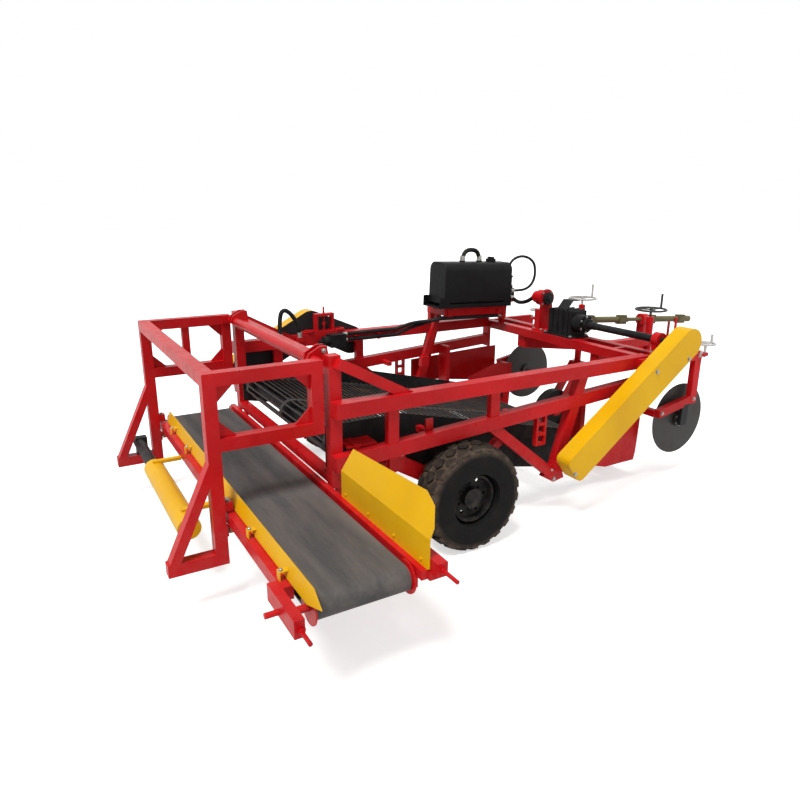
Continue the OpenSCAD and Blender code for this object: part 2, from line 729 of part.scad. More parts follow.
module gauge_fork_far() {
  color(red) place() side(true) gauge_fork();
}

module gauge_wheel() {
  difference() {
    union() {
      round_y(gauge_x, gauge_r, gauge_r, [-gauge_y - 50, -gauge_y + 50]);
      round_y(gauge_x, gauge_r, 45, [-gauge_y - 58, -gauge_y + 58]);
    }
    for (y = [-60, 14]) difference() {
      round_y(gauge_x, gauge_r, 175, [-gauge_y + y, -gauge_y + y + 46]);
      round_y(gauge_x, gauge_r, 45, [-gauge_y + y - 1, -gauge_y + y + 47]);
    }
    round_y(gauge_x, gauge_r, 15 + fit, [-gauge_y - 80, -gauge_y + 80]);
  }
}
module gauge_wheel_near() {
  color(rubber) place() gauge_wheel();
}
module gauge_wheel_far() {
  color(rubber) place() side(true) gauge_wheel();
}

// Tyre as a turned section, wide at the shoulders
module tyre() {
  h = wheel_w / 2;
  translate([wheel_x, -wheel_y, wheel_r]) rotate([90, 0, 0]) rotate_extrude($fn = 72)
    polygon([[rim_r + seat, -h + 30], [rim_r + 30, -h + 8], [rim_r + 90, -h], [wheel_r - 35, -h + 8],
      [wheel_r - 8, -h + 30], [wheel_r, -h + 60], [wheel_r, h - 60], [wheel_r - 8, h - 30],
      [wheel_r - 35, h - 8], [rim_r + 90, h], [rim_r + 30, h - 8], [rim_r + seat, h - 30]]);
}
module tyre_near() {
  color(rubber) place() tyre();
}
module tyre_far() {
  color(rubber) place() side(true) tyre();
}

// Rim with its disc and hub
module rim() {
  difference() {
    union() {
      difference() {
        round_y(wheel_x, wheel_r, rim_r, [-wheel_y - 76, -wheel_y + 76]);
        round_y(wheel_x, wheel_r, rim_r - 14, [-wheel_y - 90, -wheel_y + 90]);
      }
      round_y(wheel_x, wheel_r, rim_r - 12, [-wheel_y - 20, -wheel_y - 8]);
      round_y(wheel_x, wheel_r, 75, [-wheel_y - 72, -wheel_y + 105]);
    }
    round_y(wheel_x, wheel_r, spindle_r + fit, [-wheel_y - 69, -wheel_y + 120]);
    for (a = [0 : 60 : 300]) translate([wheel_x, 0, wheel_r]) rotate([0, a, 0])
      round_y(rim_r - 47, 0, 14, [-wheel_y - 30, -wheel_y]);
  }
}
module rim_near() {
  color(steel) place() rim();
}
module rim_far() {
  color(steel) place() side(true) rim();
}

// Gantry side with its leg, foot, corner plates and conveyor rollers
low_z = 1009;
gantry_front = -38;
module gantry_side() {
  y = [-gantry_out, -gantry_out + tube_s];
  gy = [-gantry_out + 30, -gantry_out + 42];
  x0 = gantry_rear;
  x1 = gantry_rear + tube_s;
  x2 = gantry_front - tube_s;
  box([x0, gantry_front], y, [gantry_top - tube_s, gantry_top]);
  box([x0, gantry_front], y, [low_z, low_z + tube_s]);
  box([x0, x1], y, [foot_z, gantry_top]);
  box([x2, gantry_front], y, [low_z, gantry_top]);
  box([x_rear, x1], y, [foot_z, foot_z + tube_s]);
  bar([-755, 930], [-1035, 330], 60, y);
  zt = gantry_top - tube_s + 2;
  zb = low_z + tube_s - 2;
  g = 110;
  plate([[x1 - 2, zt], [x1 + g, zt], [x1 - 2, zt - g]], gy);
  plate([[x2 + 2, zt], [x2 - g, zt], [x2 + 2, zt - g]], gy);
  plate([[x1 - 2, zb], [x1 + g, zb], [x1 - 2, zb + g]], gy);
  plate([[x2 + 2, zb], [x2 - g, zb], [x2 + 2, zb + g]], gy);
  roller_z = beam_z0 - 35 - seat;
  round_x(-gantry_out + 40, roller_z, 35, [x1 + 20, x1 + 68]);
  round_x(-gantry_out + 40, roller_z, 14, [x1 - 2, x1 + 72]);
  box([x1 - 2, x1 + 48], [y[0] + 12, y[1] - 12], [beam_z1 + 12, beam_z1 + 70]);
  box([x1 - 2, x1 + 10], [y[0] + 4, y[1] - 4], [roller_z - 40, beam_z0 - 5]);
}
module gantry_near() {
  color(red) place() gantry_side();
}
module gantry_far() {
  color(red) place() {
    side(true) gantry_side();
    box([-450, -390], [gantry_out - 65, gantry_out - 15], [low_z + 60, gantry_top - 60]);
  }
}

// Hinge tube at the front and square beam at the rear
module gantry_cross_tubes() {
  inner = gantry_out - tube_s;
  color(red) place() {
    round_y(hinge_x, hinge_z, hinge_r, [-inner + 1, inner - 1]);
    for (m = [0, 1]) mirror([0, m, 0]) box([-118, hinge_x], [-inner, -inner + 20], [1420, 1480]);
    box([gantry_rear, gantry_rear + tube_s], [-inner, inner], [gantry_top - tube_s, gantry_top]);
  }
}

// Side shift cylinder clamped on the far foot
module shift_barrel() {
  color(black) place() {
    round_y(cover_x, cover_z, 45, [-100, gantry_out - 8]);
    box([cover_x - 30, cover_x + 60], [gantry_out - 76, gantry_out - 4],
      [foot_z + tube_s, cover_z + 52]);
  }
}

// Plate with an outline in y and z
module wall(points, x) {
  translate([x[0], 0, 0]) rotate([90, 0, 90]) linear_extrude(x[1] - x[0]) polygon(points);
}

// Conveyor beams, cross members, front rail and belt stretchers
drum_near = -2120;
drum_far = conv_far - 70;
rear_near = -1960;
rail_near = -2240;
rail_z = 655;
rear_takeup = [-744, conv_x0 + 2];
front_takeup = [conv_x1 - 17, 42];
module conveyor_frame() {
  color(red) place() {
    box([conv_x0, conv_x0 + beam_w], [rear_near, conv_far], [beam_z0, beam_z1]);
    box([conv_x1 - beam_w, conv_x1], [conv_near, conv_far], [beam_z0, beam_z1]);
    for (y = [-1500, -900, -300, 500])
      box([conv_x0 + beam_w - 2, conv_x1 - beam_w + 2], [y, y + 60], [beam_z0 - 50, beam_z0 - 36]);
    for (y = [-1500, -900, -300, 500], x = [conv_x0 + beam_w - 4, conv_x1 - beam_w - 4])
      box([x, x + 8], [y + 2, y + 58], [beam_z0 - 49, beam_z0 + 30]);
    box([conv_x1 - beam_w, conv_x1 - 20], [rail_near, conv_far], [beam_z1 - 2, rail_z]);
    box([conv_x1 - beam_w + 1, conv_x1 - beam_w + 17], [drum_near - 60, drum_near + 60], [530, beam_z1 + 7]);
    box(rear_takeup, [-2245, -1880], [beam_z0 - 20, beam_z1 + 2]);
    box([front_takeup[0] - 5, front_takeup[1] - 20], [-2260, -1900], [beam_z1 - 5, rail_z - 2]);
    box(front_takeup, [-2320, -1890], [rail_z - 10, rail_z + 68]);
    round_y(rear_takeup[0] + 32, drum_z - 20, 11, [-2360, -2243]);
    round_y(front_takeup[1] - 32, rail_z + 30, 11, [y_near, -2318]);
    round_x(-2030, drum_z - 40, 16, [rear_takeup[0] - 68, rear_takeup[0] + 2]);
  }
}

module belt() {
  color(rubber) place() translate([conv_x0 + 86, 0, 0]) rotate([90, 0, 90])
    linear_extrude(conv_x1 - conv_x0 - 172) difference() {
      stadium([drum_near, drum_z], [drum_far, drum_z], 70);
      stadium([drum_near, drum_z], [drum_far, drum_z], 62 + seat);
    }
}

module belt_drums() {
  color(red) place() for (y = [drum_near, drum_far]) {
    round_x(y, drum_z, 62, [conv_x0 + 72, conv_x1 - 72]);
    round_x(y, drum_z, 20, [y == drum_near ? rear_takeup[1] + seat : conv_x0 + beam_w,
      conv_x1 - beam_w]);
    for (x = [conv_x0 + 70, conv_x1 - 78]) round_x(y, drum_z, 92, [x, x + 8]);
  }
}

// Low skirt leaning in over the rear edge of the belt, with a pointed near end, on bracket bars
skirt_y = [-2305, 940];
module skirt() {
  x = conv_x0 + 48;
  color(yellow) place() {
    translate([x, 0, beam_z1 + 6]) rotate([0, 14, 0])
      wall([[skirt_y[1], 0], [skirt_y[1], 100], [skirt_y[0] + 120, 100], [skirt_y[0], 50],
        [skirt_y[0] + 150, 0]], [0, 5]);
    for (y = [-1900, -1400, -940, -420, 100, 600]) {
      base = beam_z1 + seat;
      box([conv_x0 + 10, x + 14], [y, y + 40], [beam_z1 + 46, beam_z1 + 52]);
      box([conv_x0 + 10, conv_x0 + 16], [y, y + 40], [base, beam_z1 + 50]);
    }
  }
}

// Folded deflector on the front rail, its top leaning forwards
module deflector() {
  fold_z = 830;
  x = conv_x1 - 26;
  color(yellow) place() {
    wall([[-1240, rail_z], [-1240, fold_z], [-2255, fold_z], [-2255, rail_z + 10], [-2235, rail_z]],
      [x, x + 6]);
    translate([x, 0, fold_z - 2]) rotate([0, 22, 0])
      wall([[-1240, 0], [-1290, 160], [-2100, 205], [-2200, 160], [-2255, 60], [-2255, 0]], [0, 6]);
  }
}

// Cover tube of the cylinder rod, tied to the rear beam
module shift_cover() {
  color(yellow) place() {
    difference() {
      union() {
        round_y(cover_x, cover_z, cover_r, [-800, 340]);
        for (y = [-700, 240]) box([cover_x - 20, conv_x0], [y, y + 45], [cover_z + 66, cover_z + 90]);
      }
      round_y(cover_x, cover_z, 52, [-760, 360]);
    }
  }
}

frame_near();
frame_far();
rear_cross_beam();
front_ladder_beam();
drawbar();
wheel_arm_near();
wheel_arm_far();
web_panel_near();
web_panel_far();
web_loop();
web_rollers();
share();
far_side_sheet();
chain_guard_near();
chain_guard_far();
gearbox();
shaft_bearing();
cross_shaft();
pump_pedestal();
oil_tank();
tank_stand();
valve_block();
hoses();
hydraulic_motor();
hose_loop();
bearing_block();
pto_shaft();
disc_arm_near();
disc_arm_far();
disc_near();
disc_far();
gauge_fork_near();
gauge_fork_far();
gauge_wheel_near();
gauge_wheel_far();
tyre_near();
rim_near();
tyre_far();
rim_far();
gantry_near();
gantry_far();
gantry_cross_tubes();
shift_barrel();
conveyor_frame();
belt();
belt_drums();
skirt();
deflector();
shift_cover();
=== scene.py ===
"""Looks of a towed onion harvester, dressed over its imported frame."""

from __future__ import annotations

import json
import logging
import math
from dataclasses import dataclass, field
from enum import Enum

import bpy
from mathutils import Euler, Matrix, Vector, geometry

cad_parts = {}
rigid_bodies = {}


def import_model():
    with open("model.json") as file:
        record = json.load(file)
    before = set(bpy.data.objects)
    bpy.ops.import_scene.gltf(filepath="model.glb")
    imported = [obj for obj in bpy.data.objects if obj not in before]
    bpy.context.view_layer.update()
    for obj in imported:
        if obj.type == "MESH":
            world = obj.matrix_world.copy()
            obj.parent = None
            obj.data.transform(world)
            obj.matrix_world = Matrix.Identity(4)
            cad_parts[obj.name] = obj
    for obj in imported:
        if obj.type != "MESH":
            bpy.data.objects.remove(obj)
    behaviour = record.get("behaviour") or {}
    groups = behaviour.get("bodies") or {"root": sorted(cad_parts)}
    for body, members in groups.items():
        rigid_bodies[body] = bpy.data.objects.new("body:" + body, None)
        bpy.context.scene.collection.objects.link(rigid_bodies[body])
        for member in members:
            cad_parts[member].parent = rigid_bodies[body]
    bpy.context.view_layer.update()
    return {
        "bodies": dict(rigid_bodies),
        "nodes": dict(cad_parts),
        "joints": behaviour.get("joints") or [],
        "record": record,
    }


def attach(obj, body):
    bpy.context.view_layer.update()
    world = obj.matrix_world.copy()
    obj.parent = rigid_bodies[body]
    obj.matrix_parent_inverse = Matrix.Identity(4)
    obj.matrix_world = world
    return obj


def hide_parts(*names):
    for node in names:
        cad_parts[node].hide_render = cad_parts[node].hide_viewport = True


LOG = logging.getLogger("onion_harvester")
MM = 0.001
BOX_MIDDLE = Vector((1975.5, -575.0, 0.0))

UP = Vector((0.0, 0.0, 1.0))
LEFT = Vector((0.0, 1.0, 0.0))
AHEAD = Vector((1.0, 0.0, 0.0))

Colour = tuple[float, float, float]
Place = tuple[float, float, float]

# Axles across the machine: distance ahead of the rear posts and height in millimetres
WHEEL_AXLE = (1002.0, 400.0)
DISC_AXLE = (3430.0, 555.0)
SHAFT_AXLE = (2990.0, 1330.0)
PUMP_AXLE = (2990.0, 1510.0)

# Colours of the paints, metals, rubbers and plastics
NYLON: Colour = (0.24, 0.14, 0.065)
ZINC: Colour = (0.5, 0.5, 0.48)
DARK_GREY: Colour = (0.05, 0.05, 0.052)
PUMP_BLACK: Colour = (0.016, 0.016, 0.017)
RED: Colour = (0.57, 0.006, 0.010)
RED_DEEP: Colour = (0.45, 0.004, 0.007)
YELLOW: Colour = (0.76, 0.43, 0.002)
YELLOW_DEEP: Colour = (0.69, 0.37, 0.002)
BLACK: Colour = (0.019, 0.019, 0.021)
BLACK_DEEP: Colour = (0.009, 0.009, 0.01)
RIM_BLACK: Colour = (0.02, 0.02, 0.021)
OLIVE: Colour = (0.17, 0.145, 0.065)
OLIVE_DEEP: Colour = (0.1, 0.085, 0.04)
BARE_CHIP: Colour = (0.09, 0.075, 0.065)
FIELD_DUST: Colour = (0.36, 0.31, 0.25)
DULL_STEEL: Colour = (0.2, 0.195, 0.19)
ROD_STEEL: Colour = (0.045, 0.043, 0.041)
COULTER_STEEL: Colour = (0.05, 0.048, 0.047)
COULTER_RUST: Colour = (0.06, 0.04, 0.028)
BROWN_RUST: Colour = (0.17, 0.085, 0.045)
ZINC_BLOOM: Colour = (0.33, 0.3, 0.26)
HOSE_BLACK: Colour = (0.014, 0.014, 0.015)
HOSE_DUST: Colour = (0.16, 0.14, 0.12)
BELT_GREY: Colour = (0.072, 0.07, 0.07)
BELT_DUST: Colour = (0.25, 0.21, 0.185)
TYRE_BLACK: Colour = (0.011, 0.0105, 0.0105)
DRY_SOIL: Colour = (0.125, 0.09, 0.065)
SOIL_FILM: Colour = (0.07, 0.06, 0.05)
TANK_BLACK: Colour = (0.006, 0.006, 0.0065)
FLOOR_DIM: Colour = (0.8, 0.8, 0.79)
FLOOR_PALE: Colour = (0.86, 0.86, 0.85)


def spot(x: float, y: float, z: float) -> Vector:
    """Turn a place on the machine, in millimetres, into the row frame.

    Args:
        x: Distance ahead of the rear posts.
        y: Distance to the left of the centre line.
        z: Height above the ground.

    Returns:
        The place in metres.
    """
    return (Vector((x, y, z)) - BOX_MIDDLE) * MM


class Body(Enum):
    """Names of the bodies that the added pieces ride on."""

    CHASSIS = "chassis"
    WHEEL_RIGHT = "wheel_right"
    WHEEL_LEFT = "wheel_left"
    DISC_RIGHT = "disc_right"
    DISC_LEFT = "disc_left"
    CONVEYOR = "conveyor"


class Facing(Enum):
    """Way that a fastener's head points."""

    UP = (0.0, 0.0, 1.0)
    BACK = (-1.0, 0.0, 0.0)
    LEFT = (0.0, 1.0, 0.0)
    RIGHT = (0.0, -1.0, 0.0)


class Coat(Enum):
    """Coat of a fastener, which is the record's slot that it takes its finish from."""

    ZINC = "worn_steel"
    RED = "red_paint"
    YELLOW = "yellow_paint"
    BLACK = "black_paint"


@dataclass(frozen=True)
class Patch:
    """Part of a node that is given a colour of its own, as a box on the machine in millimetres; the far
    guard's inner face gets painted shade this way.
    """

    low: Place
    high: Place
    colour: Colour
    rough: float


class Recipe:
    """Small helper that lays out the nodes of one material."""

    def __init__(self, name: str) -> None:
        """Start a material with only its shader and output."""
        self.material = bpy.data.materials.new(name)
        self.material.use_nodes = True
        self.tree = self.material.node_tree
        self.shader = self.tree.nodes["Principled BSDF"]
        self.place = self.add("ShaderNodeTexCoord").outputs["Object"]

    def add(self, kind: str, **values: object) -> bpy.types.Node:
        """Add a node.

        Args:
            kind: Blender's name of the node.
            values: Settings of the node itself.

        Returns:
            The new node.
        """
        node = self.tree.nodes.new(kind)
        for key, value in values.items():
            setattr(node, key, value)
        return node

    def link(self, source: bpy.types.NodeSocket, target: bpy.types.NodeSocket) -> None:
        """Join two sockets."""
        self.tree.links.new(source, target)

    def noise(self, scale: float, detail: float = 4.0, rough: float = 0.55,
              stretch: tuple[float, float, float] = (1.0, 1.0, 1.0)) -> bpy.types.NodeSocket:
        """Add noise on the object's own coordinates.

        Args:
            scale: How many bumps there are in a metre.
            detail: Number of finer layers.
            rough: Strength of the finer layers.
            stretch: Share of the scale along each axis.

        Returns:
            The grey value.
        """
        mapping = self.add("ShaderNodeMapping")
        mapping.inputs["Scale"].default_value = stretch
        self.link(self.place, mapping.inputs["Vector"])
        node = self.add("ShaderNodeTexNoise")
        node.inputs["Scale"].default_value = scale
        node.inputs["Detail"].default_value = detail
        node.inputs["Roughness"].default_value = rough
        self.link(mapping.outputs["Vector"], node.inputs["Vector"])
        return node.outputs["Fac"]

    def from_axle(self, x: float, z: float) -> bpy.types.NodeSocket:
        """Measure how far a point lies from an axle across the machine.

        Args:
            x: Place of the axle along the machine in millimetres.
            z: Its height.

        Returns:
            The distance in metres.
        """
        mapping = self.add("ShaderNodeMapping")
        mapping.inputs["Location"].default_value = -spot(x, BOX_MIDDLE.y, z)
        self.link(self.place, mapping.inputs["Vector"])
        flat = self.add("ShaderNodeVectorMath", operation="MULTIPLY")
        flat.inputs[1].default_value = (1.0, 0.0, 1.0)
        self.link(mapping.outputs["Vector"], flat.inputs[0])
        length = self.add("ShaderNodeVectorMath", operation="LENGTH")
        self.link(flat.outputs[0], length.inputs[0])
        return length.outputs["Value"]

    def remap(self, value: bpy.types.NodeSocket, a: float, b: float, c: float, d: float
              ) -> bpy.types.NodeSocket:
        """Stretch a grey value.

        Args:
            value: The value to stretch.
            a: Low end of the input.
            b: High end of the input.
            c: Low end of the output.
            d: High end of the output.

        Returns:
            The stretched value.
        """
        node = self.add("ShaderNodeMapRange", clamp=True)
        self.link(value, node.inputs["Value"])
        for key, number in zip(("From Min", "From Max", "To Min", "To Max"), (a, b, c, d)):
            node.inputs[key].default_value = number
        return node.outputs["Result"]

    def times(self, a: bpy.types.NodeSocket, b: bpy.types.NodeSocket) -> bpy.types.NodeSocket:
        """Multiply two grey values.

        Args:
            a: First value.
            b: Second value.

        Returns:
            The product.
        """
        node = self.add("ShaderNodeMath", operation="MULTIPLY")
        self.link(a, node.inputs[0])
        self.link(b, node.inputs[1])
        return node.outputs[0]

    def mix(self, fac: bpy.types.NodeSocket, a: object, b: object) -> bpy.types.NodeSocket:
        """Mix two colours, each a socket or a colour.

        Args:
            fac: Share of the second colour.
            a: First colour.
            b: Second colour.

        Returns:
            The mixed colour.
        """
        node = self.add("ShaderNodeMix", data_type="RGBA")
        self.link(fac, node.inputs[0])
        for socket, value in ((node.inputs[6], a), (node.inputs[7], b)):
            if isinstance(value, tuple):
                socket.default_value = (*value, 1.0)
            else:
                self.link(value, socket)
        return node.outputs[2]

    def mix_value(self, fac: bpy.types.NodeSocket, a: object, b: object) -> bpy.types.NodeSocket:
        """Mix two grey values, each a socket or a number.

        Args:
            fac: Share of the second value.
            a: First value.
            b: Second value.

        Returns:
            The mixed value.
        """
        node = self.add("ShaderNodeMix", data_type="FLOAT")
        self.link(fac, node.inputs[0])
        for socket, value in ((node.inputs[2], a), (node.inputs[3], b)):
            if isinstance(value, float):
                socket.default_value = value
            else:
                self.link(value, socket)
        return node.outputs[0]

    def inside(self, patch: Patch) -> bpy.types.NodeSocket:
        """Make a mask that is 1 inside a box on the machine.

        Args:
            patch: The box.

        Returns:
            The mask.
        """
        low = spot(*patch.low)
        high = spot(*patch.high)
        parts = self.add("ShaderNodeSeparateXYZ")
        self.link(self.place, parts.inputs[0])
        mask = None
        for axis in range(3):
            for limit, operation in ((low[axis], "GREATER_THAN"), (high[axis], "LESS_THAN")):
                test = self.add("ShaderNodeMath", operation=operation)
                self.link(parts.outputs[axis], test.inputs[0])
                test.inputs[1].default_value = limit
                mask = test.outputs[0] if mask is None else self.times(mask, test.outputs[0])
        return mask

    def bump(self, height: bpy.types.NodeSocket, strength: float, distance: float) -> None:
        """Give the shader a bump.

        Args:
            height: Grey value used as height.
            strength: Share of the bump.
            distance: Real depth in metres.
        """
        node = self.add("ShaderNodeBump")
        node.inputs["Strength"].default_value = strength
        node.inputs["Distance"].default_value = distance
        self.link(height, node.inputs["Height"])
        self.link(node.outputs["Normal"], self.shader.inputs["Normal"])


@dataclass(frozen=True)
class Paint:
    """Sprayed satin paint with faint waves, dust on its low parts and small chips."""

    name: str
    colour: Colour
    deep: Colour
    rough: float = 0.36
    gloss: float = 0.16
    dust: float = 0.35
    patches: tuple[Patch, ...] = ()
    chip: float = 0.75
    chip_edge: float = 0.012
    dusty_heights: tuple[float, float] = (0.05, 0.9)
    least_dust: float = 0.03
    dust_rough: float = 0.85
    wave_scale: float = 2.2
    chip_scale: float = 38.0
    speck_scale: float = 11.0
    skin_scale: float = 160.0

    def make(self) -> bpy.types.Material:
        """Build the material."""
        work = Recipe(self.name)
        cloud = work.noise(self.wave_scale, 5.0)
        tone = work.mix(work.remap(cloud, 0.35, 0.65, 0.0, 1.0), self.deep, self.colour)
        chips = work.remap(work.noise(self.chip_scale, 6.0, 0.7), self.chip, self.chip + self.chip_edge,
                           0.0, 1.0)
        tone = work.mix(chips, tone, BARE_CHIP)
        parts = work.add("ShaderNodeSeparateXYZ")
        work.link(work.place, parts.inputs[0])
        low = work.remap(parts.outputs[2], *self.dusty_heights, self.dust, self.least_dust)
        specks = work.remap(work.noise(self.speck_scale, 7.0, 0.65), 0.4, 0.75, 0.0, 1.0)
        dust = work.times(low, specks)
        tone = work.mix(dust, tone, FIELD_DUST)
        rough = work.remap(work.noise(16.0), 0.3, 0.7, self.rough - 0.06, self.rough + 0.08)
        rough = work.mix_value(dust, rough, self.dust_rough)
        for patch in self.patches:
            mask = work.inside(patch)
            tone = work.mix(mask, tone, patch.colour)
            rough = work.mix_value(mask, rough, patch.rough)
        work.shader.inputs["Specular IOR Level"].default_value = self.gloss
        work.link(tone, work.shader.inputs["Base Color"])
        work.link(rough, work.shader.inputs["Roughness"])
        work.bump(work.noise(self.skin_scale, 2.0), 0.12, 0.0006)
        return work.material


@dataclass(frozen=True)
class BareSteel:
    """Worn steel with scratches and rust bloom."""

    name: str
    colour: Colour
    rust: Colour = BROWN_RUST
    rough: float = 0.42
    metallic: float = 0.85
    rust_rough: float = 0.8
    darkest: float = 0.62
    bloom_scale: float = 7.0
    scratch_scale: float = 90.0
    pit_scale: float = 120.0

    def make(self) -> bpy.types.Material:
        """Build the material."""
        work = Recipe(self.name)
        bloom = work.remap(work.noise(self.bloom_scale, 7.0, 0.65), 0.5, 0.78, 0.0, 0.75)
        scratch = work.noise(self.scratch_scale, 3.0, 0.8)
        dark = tuple(part * self.darkest for part in self.colour)
        tone = work.mix(work.remap(scratch, 0.3, 0.7, 0.0, 1.0), dark, self.colour)
        tone = work.mix(bloom, tone, self.rust)
        rough = work.remap(scratch, 0.3, 0.7, self.rough - 0.1, self.rough + 0.1)
        rough = work.mix_value(bloom, rough, self.rust_rough)
        work.shader.inputs["Metallic"].default_value = self.metallic
        work.link(tone, work.shader.inputs["Base Color"])
        work.link(rough, work.shader.inputs["Roughness"])
        work.bump(work.noise(self.pit_scale, 5.0, 0.7), 0.2, 0.0008)
        return work.material


@dataclass(frozen=True)
class Rubber:
    """Matt black rubber with dust and fine grain."""

    name: str
    colour: Colour = HOSE_BLACK
    dust: Colour = HOSE_DUST
    dusty: float = 0.25
    gloss: float = 0.1
    film_scale: float = 6.0
    grain: float = 260.0
    rough: float = 0.72
    stretch: tuple[float, float, float] = (1.0, 1.0, 1.0)

    def make(self) -> bpy.types.Material:
        """Build the material."""
        work = Recipe(self.name)
        film = work.remap(work.noise(self.film_scale, 7.0, 0.62, self.stretch), 0.42, 0.8, 0.0, self.dusty)
        tone = work.mix(film, self.colour, self.dust)
        rough = work.remap(work.noise(30.0), 0.3, 0.7, self.rough - 0.08, self.rough + 0.12)
        work.link(tone, work.shader.inputs["Base Color"])
        work.link(rough, work.shader.inputs["Roughness"])
        work.shader.inputs["Specular IOR Level"].default_value = self.gloss
        work.bump(work.noise(self.grain, 3.0, 0.6), 0.25, 0.0007)
        return work.material


@dataclass(frozen=True)
class SoiledTyre:
    """Tyre rubber with dry soil in the grooves of the tread and a worn, paler crown."""

    name: str = "soiled_tyre_rubber"
    groove: tuple[float, float] = (0.325, 0.388)
    shoulder: float = 0.04
    block_edge: float = 0.006
    crown_soil: float = 0.35
    gloss: float = 0.08
    patch_scale: float = 14.0
    film_scale: float = 7.0
    grain: float = 170.0

    def make(self) -> bpy.types.Material:
        """Build the material."""
        work = Recipe(self.name)
        reach = work.from_axle(*WHEEL_AXLE)
        floor, crown = self.groove
        shoulder = work.remap(reach, floor, floor + self.shoulder, 0.0, 1.0)
        sunk = work.remap(reach, crown - self.block_edge, crown, 1.0, self.crown_soil)
        patchy = work.remap(work.noise(self.patch_scale, 7.0, 0.65), 0.35, 0.68, 0.1, 0.95)
        tone = work.mix(work.times(work.times(shoulder, sunk), patchy), TYRE_BLACK, DRY_SOIL)
        film = work.remap(work.noise(self.film_scale, 6.0, 0.6), 0.5, 0.85, 0.0, 0.25)
        tone = work.mix(film, tone, SOIL_FILM)
        work.link(tone, work.shader.inputs["Base Color"])
        work.link(work.remap(patchy, 0.0, 1.0, 0.62, 0.92), work.shader.inputs["Roughness"])
        work.shader.inputs["Specular IOR Level"].default_value = self.gloss
        work.bump(work.noise(self.grain, 4.0, 0.65), 0.3, 0.0009)
        return work.material


@dataclass(frozen=True)
class Moulding:
    """Moulded plastic with a fine pebbled grain."""

    name: str
    colour: Colour
    rough: float = 0.45
    gloss: float = 0.12
    cloud_scale: float = 4.0
    grain: float = 420.0

    def make(self) -> bpy.types.Material:
        """Build the material."""
        work = Recipe(self.name)
        pale = tuple(min(1.0, part * 1.6 + 0.004) for part in self.colour)
        cloud = work.remap(work.noise(self.cloud_scale, 5.0), 0.35, 0.75, 0.0, 0.6)
        tone = work.mix(cloud, self.colour, pale)
        rough = work.remap(work.noise(20.0), 0.3, 0.7, self.rough - 0.06, self.rough + 0.1)
        work.link(tone, work.shader.inputs["Base Color"])
        work.link(rough, work.shader.inputs["Roughness"])
        work.shader.inputs["Specular IOR Level"].default_value = self.gloss
        work.bump(work.noise(self.grain, 2.0), 0.18, 0.0005)
        return work.material


GANTRY_ROLLERS = (Patch((-690, -1100, 455), (-625, 1100, 529.9), NYLON, 0.45),)
FRAME_ROLLERS = (Patch((-60, -1100, 462), (-31, 1100, 529.9), NYLON, 0.45),)
NEAR_SCREW = (Patch((3490, -620, 1385), (3800, -280, 1620), DARK_GREY, 0.4),)
FAR_SCREW = (Patch((3490, 280, 1385), (3800, 620, 1620), ZINC, 0.35),)
COULTER_ARM = (
    Patch((3500, -1230, 1162), (3700, 1230, 1340), ZINC, 0.35),
    Patch((3380, -1140, 500), (3478, 1140, 711.9), BLACK, 0.45),
)
PUMP_PARTS = (Patch((2890, 225, 1425), (3090, 288.8, 1620), PUMP_BLACK, 0.5),)
# Painted shade: the far guard's inner face, which lies in shade, is painted black.
GUARD_BACK_PAINTED_SHADE = (Patch((-200, 1150, 700), (1500, 1160.5, 1600), BLACK, 0.6),)


